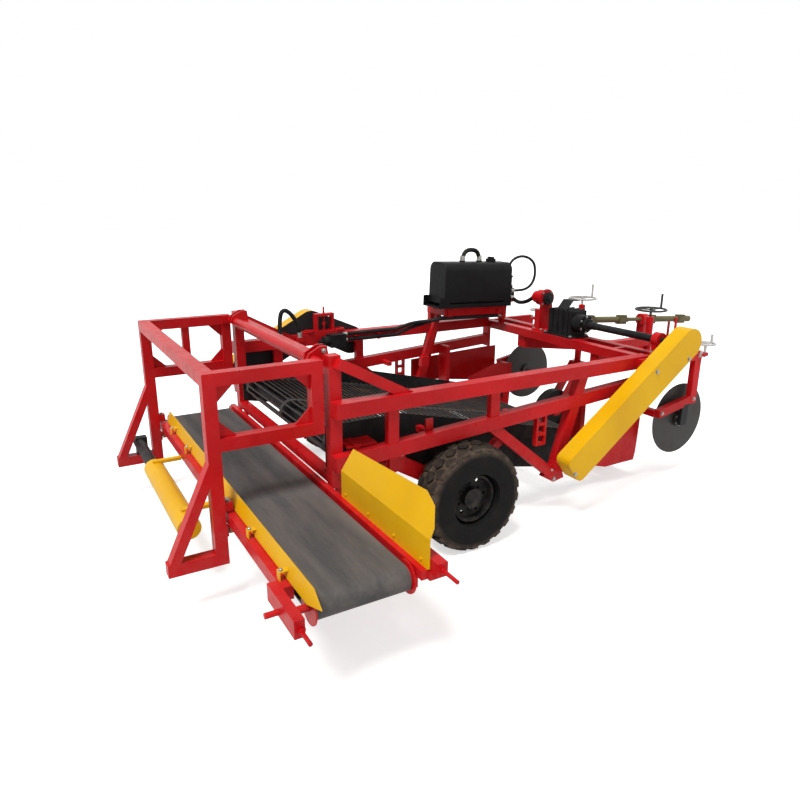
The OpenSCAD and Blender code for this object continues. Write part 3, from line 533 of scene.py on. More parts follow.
class Bench:
    """Modelling moves that several sub-assemblies share."""

    @staticmethod
    def clear() -> None:
        """Deselect everything in object mode."""
        if bpy.context.object and bpy.context.object.mode != "OBJECT":
            bpy.ops.object.mode_set(mode="OBJECT")
        bpy.ops.object.select_all(action="DESELECT")

    @staticmethod
    def settle(name: str) -> bpy.types.Object:
        """Apply the active object's place and name it.

        Args:
            name: Name of the piece.

        Returns:
            The piece.
        """
        piece = bpy.context.object
        bpy.ops.object.transform_apply(location=True, rotation=True, scale=True)
        piece.name = name
        piece.data.name = name
        return piece

    @staticmethod
    def cylinder(sides: int, radius: float, low: float, high: float) -> bpy.types.Object:
        """Add an upright cylinder over the origin.

        Args:
            sides: Number of sides.
            radius: Radius over the corners.
            low: Height of its foot.
            high: Height of its top.

        Returns:
            The cylinder, which is active.
        """
        Bench.clear()
        bpy.ops.mesh.primitive_cylinder_add(vertices=sides, radius=radius, depth=high - low,
                                            location=(0, 0, (low + high) / 2))
        bpy.ops.object.transform_apply(location=True, rotation=True, scale=True)
        return bpy.context.object

    @staticmethod
    def break_edges(offset: float, segments: int = 1) -> None:
        """Bevel every edge of the active object.

        Args:
            offset: Width of the bevel.
            segments: Number of its strips.
        """
        bpy.ops.object.mode_set(mode="EDIT")
        bpy.ops.mesh.select_all(action="SELECT")
        bpy.ops.mesh.bevel(offset=offset, segments=segments, affect="EDGES")
        bpy.ops.object.mode_set(mode="OBJECT")

    @staticmethod
    def tube(name: str, line: list[Vector], radius: float) -> bpy.types.Object:
        """Sweep a round tube along a line of close points.

        Args:
            name: Name of the piece.
            line: Middle line in metres.
            radius: Radius of the tube.

        Returns:
            The piece.
        """
        Bench.clear()
        data = bpy.data.curves.new(name, "CURVE")
        data.dimensions = "3D"
        data.bevel_depth = radius
        data.bevel_resolution = 4
        data.use_fill_caps = True
        spline = data.splines.new("POLY")
        spline.points.add(len(line) - 1)
        for point, place in zip(spline.points, line):
            point.co = (*place, 1.0)
        piece = bpy.data.objects.new(name, data)
        bpy.context.collection.objects.link(piece)
        piece.select_set(True)
        bpy.context.view_layer.objects.active = piece
        bpy.ops.object.convert(target="MESH")
        return Bench.settle(name)

    @staticmethod
    def sleeve(name: str, radius: float, length: float) -> bpy.types.Object:
        """Model a crimped hose sleeve with its hexagon, standing on the origin.

        Args:
            name: Name of the piece.
            radius: Outer radius of the sleeve.
            length: Whole length.

        Returns:
            The piece.
        """
        nut = length * 0.34
        hexagon = Bench.cylinder(6, radius * 1.02, 0.0, nut)
        Bench.cylinder(24, radius, nut, length)
        Bench.break_edges(radius * 0.1, 2)
        hexagon.select_set(True)
        bpy.ops.object.join()
        return Bench.settle(name)

    @staticmethod
    def aim(place: Vector, way: Vector) -> Matrix:
        """Return the placing that turns up into a given way.

        Args:
            place: Where the piece stands, in metres.
            way: Where its top points.

        Returns:
            The placing.
        """
        return Matrix.Translation(place) @ UP.rotation_difference(way).to_matrix().to_4x4()

    @staticmethod
    def bolt(name: str, head: float, height: float) -> bpy.types.Object:
        """Model a hexagon bolt head on its washer, standing on the origin.

        Args:
            name: Name of the piece.
            head: Radius over the corners.
            height: Height of the head.

        Returns:
            The piece.
        """
        washer = height * 0.25
        plate = Bench.cylinder(12, head * 1.3, 0.0, washer)
        Bench.cylinder(6, head, washer, washer + height)
        Bench.break_edges(head * 0.12)
        plate.select_set(True)
        bpy.ops.object.join()
        return Bench.settle(name)

    @staticmethod
    def scatter(master: bpy.types.Object, places: list[Matrix], name: str) -> bpy.types.Object:
        """Copy a master to many places and join the copies.

        Args:
            master: Piece to copy, which is removed afterwards.
            places: Where each copy goes.
            name: Name of the joined piece.

        Returns:
            The joined piece.
        """
        copies = []
        for place in places:
            mesh = master.data.copy()
            mesh.transform(place)
            copy = bpy.data.objects.new(name, mesh)
            bpy.context.collection.objects.link(copy)
            copies.append(copy)
        bpy.data.objects.remove(master)
        return Bench.join(copies, name)

    @staticmethod
    def join(pieces: list[bpy.types.Object], name: str) -> bpy.types.Object:
        """Join several pieces into one mesh.

        Args:
            pieces: Pieces to join.
            name: Name of the result.

        Returns:
            The joined piece.
        """
        Bench.clear()
        for piece in pieces:
            piece.select_set(True)
        bpy.context.view_layer.objects.active = pieces[0]
        if len(pieces) > 1:
            bpy.ops.object.join()
        return Bench.settle(name)

    @staticmethod
    def smooth(piece: bpy.types.Object, degrees: float) -> None:
        """Shade a piece smooth except over sharp edges.

        Args:
            piece: The piece.
            degrees: Least turn of a sharp edge.
        """
        Bench.clear()
        piece.select_set(True)
        bpy.context.view_layer.objects.active = piece
        bpy.ops.object.shade_smooth_by_angle(angle=math.radians(degrees))

    @staticmethod
    def dress(piece: bpy.types.Object, finish: bpy.types.Material, slot: str, body: Body) -> None:
        """Give a piece its finish and the body that it rides on.

        Args:
            piece: The piece.
            finish: Its material.
            slot: Not used.
            body: The body.
        """
        piece.data.materials.clear()
        piece.data.materials.append(finish)
        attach(piece, body.value)
        LOG.info("%s rides on %s", piece.name, body.value)


@dataclass
class Finishes:
    """All the finishes of the machine, made once."""

    red: bpy.types.Material = field(init=False)
    yellow: bpy.types.Material = field(init=False)
    black: bpy.types.Material = field(init=False)
    steel: bpy.types.Material = field(init=False)
    zinc: bpy.types.Material = field(init=False)
    rubber: bpy.types.Material = field(init=False)
    tyre: bpy.types.Material = field(init=False)
    plastic: bpy.types.Material = field(init=False)
    special: dict[str, bpy.types.Material] = field(init=False)

    def __post_init__(self) -> None:
        """Make every material."""
        self.red = self.patched("red_frame_paint", ())
        self.yellow = Paint("yellow_guard_paint", YELLOW, YELLOW_DEEP, rough=0.36, dust=0.1).make()
        self.black = Paint("black_frame_paint", BLACK, BLACK_DEEP, rough=0.42, gloss=0.08, dust=0.14).make()
        self.steel = BareSteel("worn_dark_steel", DULL_STEEL).make()
        self.zinc = BareSteel("zinc_fasteners", ZINC, rust=ZINC_BLOOM, rough=0.35).make()
        self.rubber = Rubber("black_hose_rubber", dusty=0.12, rough=0.5).make()
        self.tyre = SoiledTyre().make()
        self.plastic = Moulding("black_tank_plastic", TANK_BLACK).make()
        self.special = self.node_finishes()

    @staticmethod
    def patched(name: str, patches: tuple[Patch, ...]) -> bpy.types.Material:
        """Make the red paint, with parts in other colours where they are given.

        Args:
            name: Name of the material.
            patches: The parts.

        Returns:
            The material.
        """
        return Paint(name, RED, RED_DEEP, rough=0.32, dust=0.13, patches=patches).make()

    def node_finishes(self) -> dict[str, bpy.types.Material]:
        """Make the finishes of single nodes.

        Returns:
            The finish of each named node.
        """
        gantry = self.patched("red_gantry_paint", GANTRY_ROLLERS)
        sides = self.patched("red_side_frame_paint", FRAME_ROLLERS)
        arms = self.patched("red_coulter_arm_paint", COULTER_ARM)
        rims = Paint("black_rim_paint", RIM_BLACK, BLACK_DEEP, rough=0.45, gloss=0.08, dust=0.22).make()
        blades = BareSteel("dark_coulter_steel", COULTER_STEEL, COULTER_RUST, rough=0.45, metallic=0.5).make()
        shaft = Paint("olive_drive_paint", OLIVE, OLIVE_DEEP, dust=0.25).make()
        return {
            "gantry_near": gantry,
            "gantry_far": gantry,
            "frame_near": sides,
            "frame_far": sides,
            "gauge_fork_near": self.patched("red_near_screw_paint", NEAR_SCREW),
            "gauge_fork_far": self.patched("red_far_screw_paint", FAR_SCREW),
            "disc_arm_near": arms,
            "disc_arm_far": arms,
            "pump_pedestal": self.patched("red_pump_paint", PUMP_PARTS),
            # The far guard's yellow paint has its inner face painted black as painted shade.
            "chain_guard_far": Paint("yellow_far_guard_paint_and_painted_shade", YELLOW, YELLOW_DEEP, dust=0.1,
                                     patches=GUARD_BACK_PAINTED_SHADE).make(),
            "belt": Rubber("conveyor_belt_rubber", BELT_GREY, BELT_DUST, dusty=0.5, grain=90.0,
                           stretch=(1.0, 0.12, 1.0)).make(),
            "belt_drums": self.red,
            "rim_near": rims,
            "rim_far": rims,
            "disc_near": blades,
            "disc_far": blades,
            "pto_shaft": shaft,
            "web_loop": BareSteel("web_rod_steel", ROD_STEEL, rough=0.5, metallic=0.5).make(),
        }

    def by_slot(self) -> dict[str, bpy.types.Material]:
        """Return the finish of each of the record's slots."""
        return {
            "red_paint": self.red,
            "yellow_paint": self.yellow,
            "black_paint": self.black,
            "worn_steel": self.steel,
            "black_rubber": self.rubber,
            "tyre_rubber": self.tyre,
            "tank_plastic": self.plastic,
        }

    def dress_nodes(self, frame: dict) -> None:
        """Give every carried-over node its finish.

        Args:
            frame: The loaded frame.
        """
        table = self.by_slot()
        for part in frame["record"]["subparts"]:
            name = part["node"]
            node = frame["nodes"][name]
            finish = self.special.get(name, table[part["material_slot"]])
            node.data.materials.clear()
            node.data.materials.append(finish)


@dataclass
class RoadWheel:
    """Block tread tyre around a carried-over rim."""

    name: str
    node: str
    body: Body
    y_mid: float
    radius: float = 400.0
    width: float = 245.0
    bead: float = 176.0
    shoulder: float = 48.0
    bulge: float = 6.0
    dip: float = 4.0
    lug: float = 21.0
    block_radius: float = 45.0
    block_shape: tuple[float, float, float] = (1.08, 0.95, 1.0)
    block_edge: float = 3.5
    pitches: int = 22
    sharp: float = 30.0

    def carcass(self) -> bpy.types.Object:
        """Model the carcass from a cylinder with rounded shoulders and an open middle."""
        Bench.clear()
        crown = (self.radius - self.lug) * MM
        bpy.ops.mesh.primitive_cylinder_add(vertices=96, radius=crown, depth=self.width * MM,
                                            end_fill_type="NGON", rotation=(math.pi / 2, 0, 0))
        bpy.ops.object.transform_apply(location=True, rotation=True, scale=True)
        piece = bpy.context.object
        bpy.ops.object.mode_set(mode="EDIT")
        bpy.ops.mesh.select_all(action="DESELECT")
        bpy.ops.object.mode_set(mode="OBJECT")
        for edge in piece.data.edges:
            ends = [piece.data.vertices[i].co.y for i in edge.vertices]
            edge.select = abs(ends[0] - ends[1]) < 1e-6
        bpy.ops.object.mode_set(mode="EDIT")
        bpy.ops.mesh.bevel(offset=self.shoulder * MM, segments=7, profile=0.6, affect="EDGES")
        self.pick_caps(piece)
        wall = crown - self.bead * MM
        bpy.ops.mesh.inset(thickness=0.35 * wall, depth=self.bulge * MM)
        bpy.ops.mesh.inset(thickness=0.3 * wall, depth=-self.dip * MM)
        bpy.ops.mesh.delete(type="FACE")
        bpy.ops.mesh.select_all(action="DESELECT")
        bpy.ops.mesh.select_non_manifold()
        bpy.ops.mesh.bridge_edge_loops()
        bpy.ops.mesh.select_all(action="SELECT")
        bpy.ops.mesh.normals_make_consistent(inside=False)
        bpy.ops.object.mode_set(mode="OBJECT")
        return piece

    @staticmethod
    def pick_caps(piece: bpy.types.Object) -> None:
        """Select only the two flat end faces of a cylinder along y."""
        bpy.ops.mesh.select_all(action="DESELECT")
        bpy.ops.object.mode_set(mode="OBJECT")
        for face in piece.data.polygons:
            face.select = abs(face.normal.y) > 0.99 and len(face.vertices) > 8
        bpy.ops.object.mode_set(mode="EDIT")

    def block(self) -> bpy.types.Object:
        """Model one five-sided tread block, standing on the origin."""
        piece = Bench.cylinder(5, self.block_radius * MM, -self.lug * MM, self.lug * MM)
        piece.scale = self.block_shape
        bpy.ops.object.transform_apply(location=True, rotation=True, scale=True)
        Bench.break_edges(self.block_edge * MM)
        return piece

    def tread(self) -> bpy.types.Object:
        """Set three rows of blocks round the carcass."""
        rows = ((-80.0, 11.0, -17.0, 0.0), (0.0, 0.5, 0.0, 36.0), (80.0, 11.0, 17.0, 0.0))
        places = []
        crown = (self.radius - self.lug) * MM
        step = 2 * math.pi / self.pitches
        for row, (y, drop, lean, turn) in enumerate(rows):
            for i in range(self.pitches):
                angle = (i + 0.5 * (row % 2)) * step
                place = (Matrix.Rotation(angle, 4, "Y")
                         @ Matrix.Translation((0, y * MM, crown - drop * MM))
                         @ Matrix.Rotation(math.radians(-lean), 4, "X")
                         @ Matrix.Rotation(math.radians(turn), 4, "Z"))
                places.append(place)
        return Bench.scatter(self.block(), places, self.name + "_tread")

    def build(self, finishes: Finishes) -> None:
        """Model the tyre and let it stand for the plain node.

        Args:
            finishes: The machine's finishes.
        """
        tyre = Bench.join([self.carcass(), self.tread()], self.name)
        x, z = WHEEL_AXLE
        tyre.data.transform(Matrix.Translation(spot(x, self.y_mid, z)))
        Bench.smooth(tyre, self.sharp)
        Bench.dress(tyre, finishes.tyre, "tyre_rubber", self.body)
        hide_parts(self.node)


@dataclass(frozen=True)
class TankPlace:
    """Where the tipped oil tank stands on the machine, in millimetres and degrees."""

    x: float = 2030.0
    z: float = 1455.0
    tilt: float = 2.0
    length: float = 830.0
    height: float = 410.0
    near: float = 700.0
    middle: float = 850.0
    under: float = -138.9

    def ahead(self) -> Vector:
        """Return the tank's own way forward."""
        return Vector((math.cos(math.radians(self.tilt)), 0.0, -math.sin(math.radians(self.tilt))))

    def up(self) -> Vector:
        """Return the tank's own way up."""
        return Vector((math.sin(math.radians(self.tilt)), 0.0, math.cos(math.radians(self.tilt))))

    def tip(self, x: float, y: float, z: float) -> Vector:
        """Turn a place on the tank into one on the machine.

        Args:
            x: Distance ahead of the tank's rear end.
            y: Distance to the left of the machine's centre line.
            z: Height above the tank's floor.

        Returns:
            The place in millimetres.
        """
        return Vector((self.x, y, self.z)) + x * self.ahead() + z * self.up()


LEAD_STEP = 12.0


def lead(port: Vector, way: Vector) -> list[Vector]:
    """Return the straight start of a hose out of a port.

    Args:
        port: Middle of the port in millimetres.
        way: Where the port points.

    Returns:
        Three points.
    """
    return [port + step * LEAD_STEP * way for step in range(3)]


@dataclass
class Hose:
    """One hose on a smooth line through chosen points, with a crimped sleeve at each end."""

    name: str
    points: list[Vector]
    radius: float
    wall: float = 4.0
    sleeve: float = 46.0

    def line(self, steps: int = 8) -> list[Vector]:
        """Return the middle line in metres.

        Args:
            steps: Pieces between two points.

        Returns:
            Close points on the line.
        """
        last = len(self.points) - 1
        ways = [(self.points[min(i + 1, last)] - self.points[max(i - 1, 0)]).normalized()
                for i in range(last + 1)]
        line = []
        for i in range(last):
            start, end = self.points[i], self.points[i + 1]
            third = (end - start).length / 3.0
            line += geometry.interpolate_bezier(start, start + third * ways[i], end - third * ways[i + 1],
                                                end, steps + 1)[:-1]
        line.append(self.points[last])
        return [spot(*place) for place in line]

    def ends(self) -> list[Matrix]:
        """Return the placing of the sleeve at each end."""
        places = []
        for port, inner in ((self.points[0], self.points[1]), (self.points[-1], self.points[-2])):
            places.append(Bench.aim(spot(*port), (inner - port).normalized()))
        return places

    def sleeves(self) -> bpy.types.Object:
        """Model the sleeves."""
        master = Bench.sleeve(self.name + "_sleeve", (self.radius + self.wall) * MM, self.sleeve * MM)
        return Bench.scatter(master, self.ends(), self.name + "_sleeves")

    def tube(self) -> bpy.types.Object:
        """Model the hose itself."""
        return Bench.tube(self.name, self.line(), self.radius * MM)


@dataclass
class OilHoses:
    """Hoses of the oil circuit, on the same lines as the frame's."""

    tank: TankPlace = field(default_factory=TankPlace)
    rail_y: float = 1013.0
    rail_heights: tuple[float, float] = (1205.0, 1150.0)
    rail_arch_y: float = 1011.0
    rail_port: float = 1217.3
    end_port: float = 20.3
    top_port: float = 12.3
    near_inset: float = 40.0
    loop_length: float = 1.027
    loop_radius: float = 13.5
    sharp: float = 50.0

    def end_of_tank(self, z: float) -> Vector:
        """Return a port on the tank's front end at a height above its floor."""
        tank = self.tank
        return tank.tip(tank.length + self.end_port, tank.near + self.near_inset, z)

    def tank_arch(self) -> Hose:
        """Lay the short arch on top of the tank."""
        tank = self.tank
        top = tank.height + self.top_port
        points = lead(tank.tip(290.0, tank.middle, top), tank.up())
        points += [tank.tip(x, tank.middle, z) for x, z in ((326.0, 510.0), (395.0, 528.0), (464.0, 510.0))]
        points += reversed(lead(tank.tip(500.0, tank.middle, top), tank.up()))
        return Hose("tank_arch_hose", points, 22.0)

    def suction(self) -> Hose:
        """Lay the hose from the tank to the pump."""
        tank = self.tank
        points = lead(self.end_of_tank(48.0), tank.ahead())
        points += [Vector((2965.0, 690.0, 1425.0)), Vector((2992.0, 590.0, 1445.0))]
        points += reversed(lead(Vector((2990.0, 450.3, 1510.0)), LEFT))
        return Hose("suction_hose", points, 20.0)

    def rail_arch(self) -> Hose:
        """Lay the arch over the far rail."""
        y = self.rail_arch_y
        bend = ((435.0, 1400.0), (470.0, 1475.0), (540.0, 1440.0), (600.0, 1340.0))
        points = lead(Vector((430.0, y, self.rail_port)), UP)
        points += [Vector((x, y, z)) for x, z in bend]
        points += reversed(lead(Vector((620.0, y, self.rail_port)), UP))
        return Hose("rail_arch_hose", points, 20.0)

    def long_hose(self, k: int) -> Hose:
        """Lay one of the two hoses under the tank and along the far rail.

        Args:
            k: Number of the hose.

        Returns:
            The hose.
        """
        tank = self.tank
        y = tank.near + 50.0 + 40.0 * k
        height = self.rail_heights[k]
        points = lead(tank.tip(tank.length - 70.3, y, tank.under), -tank.ahead())
        points += [tank.tip(x, y, tank.under) for x in (60.0, 30.0, 0.0)]
        points += [Vector((1940.0, 770.0 + 40.0 * k, 1303.0 - 12.0 * k)),
                   Vector((1800.0, 930.0 + 25.0 * k, 1262.0 - 47.0 * k))]
        points += [Vector((x, self.rail_y, height)) for x in (1650.0, 1610.0, 1570.0)]
        points += reversed(lead(Vector((1060.3, self.rail_y, height)), AHEAD))
        return Hose(f"long_hose_{k}", points, 18.0, 1.6)

    def loop(self) -> Hose:
        """Lay the free hose that loops from the valve to the tank."""
        tank = self.tank
        points = lead(Vector((2930.0, 845.0, 1575.3)), UP)
        points += [Vector(place) for place in (
            (2931.0, 844.0, 1740.0), (2948.0, 831.0, 1822.0), (2987.0, 803.0, 1871.0),
            (3043.0, 762.0, 1890.0), (3099.0, 720.0, 1871.0), (3141.0, 690.0, 1820.0),
            (3154.0, 679.0, 1740.0), (3146.0, 676.0, 1670.0), (3115.0, 683.0, 1602.0),
            (3060.0, 706.0, 1556.0), (2985.0, 735.0, 1542.0))]
        points += reversed(lead(self.end_of_tank(120.0), tank.ahead()))
        return Hose("valve_loop_hose", points, self.loop_radius)

    def build(self, finishes: Finishes) -> None:
        """Model every hose and its sleeves.

        Args:
            finishes: The machine's finishes.
        """
        loop = self.loop()
        piece = loop.tube()
        Bench.smooth(piece, self.sharp)
        Bench.dress(piece, finishes.rubber, "black_rubber", Body.CHASSIS)
        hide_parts("hose_loop")
        fittings = loop.sleeves()
        Bench.dress(fittings, finishes.zinc, "worn_steel", Body.CHASSIS)
        spot(*loop.points[0])
        loop.line()
        held = [self.tank_arch(), self.suction(), self.rail_arch(), self.long_hose(0), self.long_hose(1)]
        bundle = Bench.join([hose.tube() for hose in held], "oil_hoses")
        Bench.smooth(bundle, self.sharp)
        Bench.dress(bundle, finishes.rubber, "black_rubber", Body.CHASSIS)
        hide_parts("hoses")
        sleeves = Bench.join([hose.sleeves() for hose in held], "oil_hose_sleeves")
        Bench.dress(sleeves, finishes.zinc, "worn_steel", Body.CHASSIS)


@dataclass
class ValveKnobs:
    """Round grips on the valve's two levers."""

    x: float = 2945.0
    y_places: tuple[float, float] = (805.0, 885.0)
    top: float = 1680.0
    radius: float = 17.0
    stem_shape: Place = (0.8, 0.8, 1.5)
    sharp: float = 60.0

    def grip(self) -> bpy.types.Object:
        """Model one grip that tapers to its stem, standing on the origin."""
        Bench.clear()
        bpy.ops.mesh.primitive_uv_sphere_add(segments=20, ring_count=12, radius=self.radius * MM)
        piece = bpy.context.object
        bpy.ops.object.mode_set(mode="EDIT")
        bpy.ops.mesh.select_all(action="DESELECT")
        bpy.ops.object.mode_set(mode="OBJECT")
        for vertex in piece.data.vertices:
            vertex.select = vertex.co.z < -0.3 * self.radius * MM
        bpy.ops.object.mode_set(mode="EDIT")
        bpy.ops.transform.resize(value=self.stem_shape)
        bpy.ops.object.mode_set(mode="OBJECT")
        return Bench.settle("valve_grip")

    def build(self, finishes: Finishes) -> None:
        """Set a grip on each lever.

        Args:
            finishes: The machine's finishes.
        """
        places = [Matrix.Translation(spot(self.x, y, self.top)) for y in self.y_places]
        piece = Bench.scatter(self.grip(), places, "valve_grips")
        Bench.smooth(piece, self.sharp)
        Bench.dress(piece, finishes.plastic, "black_paint", Body.CHASSIS)


BoltSpot = tuple[float, float, float, Facing]


def both_sides(spots: tuple[Place, ...]) -> list[BoltSpot]:
    """Mirror outward-facing bolts of the near side to the far side.

    Args:
        spots: Places on the near side.

    Returns:
        Places on both sides with the way that each head points.
    """
    near = [(x, y, z, Facing.RIGHT) for x, y, z in spots]
    return near + [(x, -y, z, Facing.LEFT) for x, y, z in spots]


def ring_of(axle: tuple[float, float], y: float, radius: float, count: int, facing: Facing
            ) -> list[BoltSpot]:
    """Set bolts in a circle round an axle across the machine.

    Args:
        axle: Distance ahead and height of the axle.
        y: Place of the face that the bolts stand on.
        radius: Radius of the circle.
        count: Number of bolts.
        facing: Way that the heads point.

    Returns:
        The places.
    """
    x, z = axle
    turns = [math.radians(360.0 * (i + 0.5) / count) for i in range(count)]
    return [(x + radius * math.cos(a), y, z + radius * math.sin(a), facing) for a in turns]


@dataclass
class BoltGroup:
    """Bolts of one size on one body."""

    name: str
    body: Body
    head: float
    spots: list[BoltSpot]
    coat: Coat = Coat.ZINC
    squat: float = 0.75

    def build(self, finishes: Finishes) -> None:
        """Model one bolt and copy it to every place.

        Args:
            finishes: The machine's finishes.
        """
        master = Bench.bolt(self.name + "_master", self.head * MM, self.head * self.squat * MM)
        places = [Bench.aim(spot(x, y, z), Vector(facing.value)) for x, y, z, facing in self.spots]
        piece = Bench.scatter(master, places, self.name)
        finish = {Coat.ZINC: finishes.zinc, Coat.RED: finishes.red,
                  Coat.YELLOW: finishes.yellow, Coat.BLACK: finishes.black}[self.coat]
        Bench.dress(piece, finish, self.coat.value, self.body)


@dataclass(frozen=True)
class Fasteners:
    """Places of the bolts and nuts on the machine, in millimetres."""

    guard_face: float = -1330.0
    guard: tuple[tuple[float, float], ...] = ((1898.0, 434.0), (2709.0, 1140.0), (3085.0, 1204.0))
    near_side: tuple[Place, ...] = (
        (38.0, -870.0, 1508.0), (445.0, -1060.0, 775.0), (515.0, -1060.0, 775.0),
        (1870.0, -1101.0, 395.0), (1935.0, -1101.0, 395.0), (1900.0, -1101.0, 310.0),
        (3490.0, -1137.0, 1150.0), (3497.0, -1133.0, 752.0), (3090.0, -1133.0, 678.0))
    foot_top: float = 1204.0
    gearbox_feet: tuple[tuple[float, float], tuple[float, float]] = ((2885.0, 3095.0), (-172.0, 172.0))
    pump_feet: tuple[tuple[float, float], tuple[float, float]] = ((2902.0, 3078.0), (255.0, 360.0))
    bearing_feet: tuple[Place, ...] = ((2920.0, -1087.0, 1230.0), (3060.0, -1087.0, 1230.0))
    gantry_rollers: tuple[Place, ...] = ((-680.0, -993.0, 675.0), (-680.0, 993.0, 675.0))
    gearbox_face: float = -262.0
    pump_face: float = 289.0
    valve_face: float = 780.0
    valve_cover: tuple[tuple[float, float], tuple[float, float]] = ((2932.0, 2958.0), (1475.0, 1525.0))
    valve_caps: tuple[Place, ...] = ((2915.0, 805.0, 1500.0), (2915.0, 885.0, 1500.0))
    skirt_lugs: tuple[float, ...] = (-1880.0, -1380.0, -920.0, -400.0, 120.0, 620.0)
    deflector_foot: tuple[float, ...] = (-1300.0, -1600.0, -1900.0, -2180.0)
    takeups: tuple[Place, ...] = ((-712.0, -2245.0, 550.0), (10.0, -2320.0, 685.0))
    rim_face: float = 1190.0
    disc_face: float = 1070.0

    def chassis_bolts(self) -> list[BoltSpot]:
        """Return the large bolts of the frame."""
        spots = [(x, self.guard_face, z, Facing.RIGHT) for x, z in self.guard]
        spots += both_sides(self.near_side)
        for lengths, widths in (self.gearbox_feet, self.pump_feet):
            spots += [(x, y, self.foot_top, Facing.UP) for x in lengths for y in widths]
        spots += [(*place, Facing.UP) for place in self.bearing_feet + self.gantry_rollers]
        return spots

    def drive_bolts(self) -> list[BoltSpot]:
        """Return the small bolts of gearbox, pump and valve."""
        spots = ring_of(SHAFT_AXLE, self.gearbox_face, 73.0, 6, Facing.RIGHT)
        spots += ring_of(PUMP_AXLE, self.pump_face, 76.0, 4, Facing.RIGHT)
        lengths, heights = self.valve_cover
        spots += [(x, self.valve_face, z, Facing.RIGHT) for x in lengths for z in heights]
        spots += [(*place, Facing.BACK) for place in self.valve_caps]
        return spots

    def groups(self) -> list[BoltGroup]:
        """List the bolts of the machine by body and size.

        Returns:
            The groups.
        """
        lugs = [(-668.0, y, 657.0, Facing.UP) for y in self.skirt_lugs]
        foot = [(-28.0, y, 690.0, Facing.BACK) for y in self.deflector_foot]
        takeups = [(*place, Facing.RIGHT) for place in self.takeups]
        groups = [BoltGroup("chassis_bolts", Body.CHASSIS, 14.0, self.chassis_bolts()),
                  BoltGroup("drive_bolts", Body.CHASSIS, 9.0, self.drive_bolts()),
                  BoltGroup("conveyor_bolts", Body.CONVEYOR, 10.0, lugs),
                  BoltGroup("deflector_bolts", Body.CONVEYOR, 8.0, foot, Coat.YELLOW),
                  BoltGroup("takeup_nuts", Body.CONVEYOR, 19.0, takeups, Coat.RED)]
        for body, side, facing in ((Body.WHEEL_RIGHT, -1, Facing.RIGHT), (Body.WHEEL_LEFT, 1, Facing.LEFT)):
            nuts = ring_of(WHEEL_AXLE, side * self.rim_face, 95.0, 6, facing)
            groups.append(BoltGroup(body.value + "_nuts", body, 13.0, nuts, Coat.BLACK))
        for body, side, facing in ((Body.DISC_RIGHT, -1, Facing.RIGHT), (Body.DISC_LEFT, 1, Facing.LEFT)):
            hub = ring_of(DISC_AXLE, side * self.disc_face, 57.0, 6, facing)
            groups.append(BoltGroup(body.value + "_bolts", body, 7.0, hub))
        return groups


@dataclass(frozen=True)
class Sun:
    """One soft sun."""

    name: str
    energy: float
    spread: float
    source: Place

    def build(self) -> None:
        """Set the lamp so that it shines from its source."""
        data = bpy.data.lights.new(self.name, "SUN")
        data.energy = self.energy
        data.angle = math.radians(self.spread)
        lamp = bpy.data.objects.new(self.name, data)
        bpy.context.collection.objects.link(lamp)
        lamp.rotation_euler = Vector(self.source).to_track_quat("Z", "Y").to_euler()


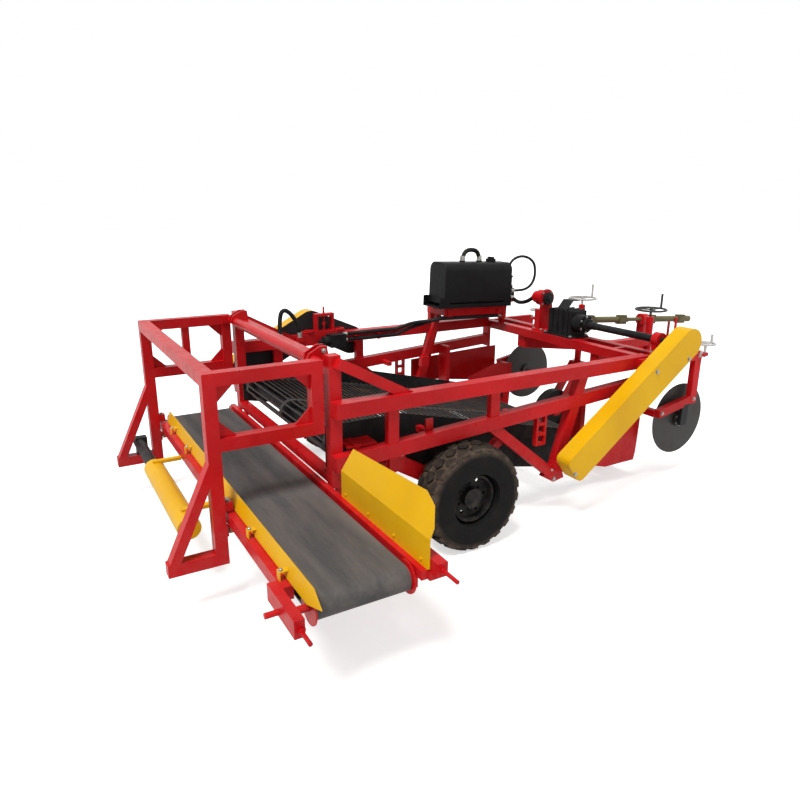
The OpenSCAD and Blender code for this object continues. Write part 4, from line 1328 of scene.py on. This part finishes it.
@dataclass
class Studio:
    """Pale floor, soft light and the photograph's camera."""

    lens: float = 29.63
    sensor: float = 36.0
    reach: float = 200.0
    eye: Place = (-1622.0, -4693.0, 2416.0)
    pitch: float = 16.61
    heading: float = 59.74
    roll: float = 0.23
    floor_side: float = 120.0
    floor_glow: float = 0.6
    floor_rough: float = 0.9
    room_light: float = 0.31
    room_white: float = 1.0
    suns: tuple[Sun, ...] = (Sun("key_sun", 3.1, 22.0, (-0.7, -0.35, 1.5)),
                             Sun("fill_sun", 0.35, 60.0, (0.4, -1.0, 0.5)))

    def camera(self) -> None:
        """Set the camera where the photograph was taken from."""
        data = bpy.data.cameras.new("photo_camera")
        data.lens = self.lens
        data.sensor_width = self.sensor
        data.clip_end = self.reach
        camera = bpy.data.objects.new("photo_camera", data)
        bpy.context.collection.objects.link(camera)
        camera.location = spot(*self.eye)
        turn = Euler((math.radians(90.0 - self.pitch), 0.0, math.radians(self.heading - 90.0)))
        camera.rotation_euler = (turn.to_matrix() @ Matrix.Rotation(math.radians(self.roll), 3, "Z")
                                 ).to_euler()
        bpy.context.scene.camera = camera

    def floor(self) -> None:
        """Lay a pale floor under the wheels."""
        Bench.clear()
        bpy.ops.mesh.primitive_plane_add(size=self.floor_side)
        floor = Bench.settle("pale_floor")
        work = Recipe("pale_floor")
        tone = work.mix(work.noise(1.2), FLOOR_DIM, FLOOR_PALE)
        work.link(tone, work.shader.inputs["Base Color"])
        work.shader.inputs["Roughness"].default_value = self.floor_rough
        work.shader.inputs["Emission Color"].default_value = (1.0, 1.0, 1.0, 1.0)
        path = work.add("ShaderNodeLightPath")
        glow = work.remap(path.outputs["Is Camera Ray"], 0.0, 1.0, 0.0, self.floor_glow)
        work.link(glow, work.shader.inputs["Emission Strength"])
        floor.data.materials.append(work.material)

    def light(self) -> None:
        """Set a soft sun, a broad fill and a white world."""
        for sun in self.suns:
            sun.build()
        world = bpy.data.worlds.new("pale_room")
        bpy.context.scene.world = world
        world.use_nodes = True
        nodes = world.node_tree.nodes
        back = nodes["Background"]
        back.inputs["Color"].default_value = (1.0, 1.0, 1.0, 1.0)
        path = nodes.new("ShaderNodeLightPath")
        either = nodes.new("ShaderNodeMath")
        either.operation = "MAXIMUM"
        strength = nodes.new("ShaderNodeMapRange")
        strength.inputs["To Min"].default_value = self.room_light
        strength.inputs["To Max"].default_value = self.room_white
        links = world.node_tree.links
        links.new(path.outputs["Is Camera Ray"], either.inputs[0])
        links.new(path.outputs["Is Transmission Ray"], either.inputs[1])
        mirror = nodes.new("ShaderNodeMath")
        mirror.operation = "MAXIMUM"
        links.new(either.outputs[0], mirror.inputs[0])
        links.new(path.outputs["Is Glossy Ray"], mirror.inputs[1])
        links.new(mirror.outputs[0], strength.inputs["Value"])
        links.new(strength.outputs["Result"], back.inputs["Strength"])
        bpy.context.scene.view_settings.view_transform = "Standard"

    def build(self) -> None:
        """Set camera, floor and light."""
        self.camera()
        self.floor()
        self.light()


def main() -> None:
    """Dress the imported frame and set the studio."""
    logging.basicConfig(level=logging.INFO, format="%(name)s: %(message)s")
    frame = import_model()
    Studio().build()
    finishes = Finishes()
    finishes.dress_nodes(frame)
    OilHoses().build(finishes)
    ValveKnobs().build(finishes)
    RoadWheel("tyre_right", "tyre_near", Body.WHEEL_RIGHT, -1170.0).build(finishes)
    RoadWheel("tyre_left", "tyre_far", Body.WHEEL_LEFT, 1170.0).build(finishes)
    for group in Fasteners().groups():
        group.build(finishes)


if __name__ == "__main__":
    main()
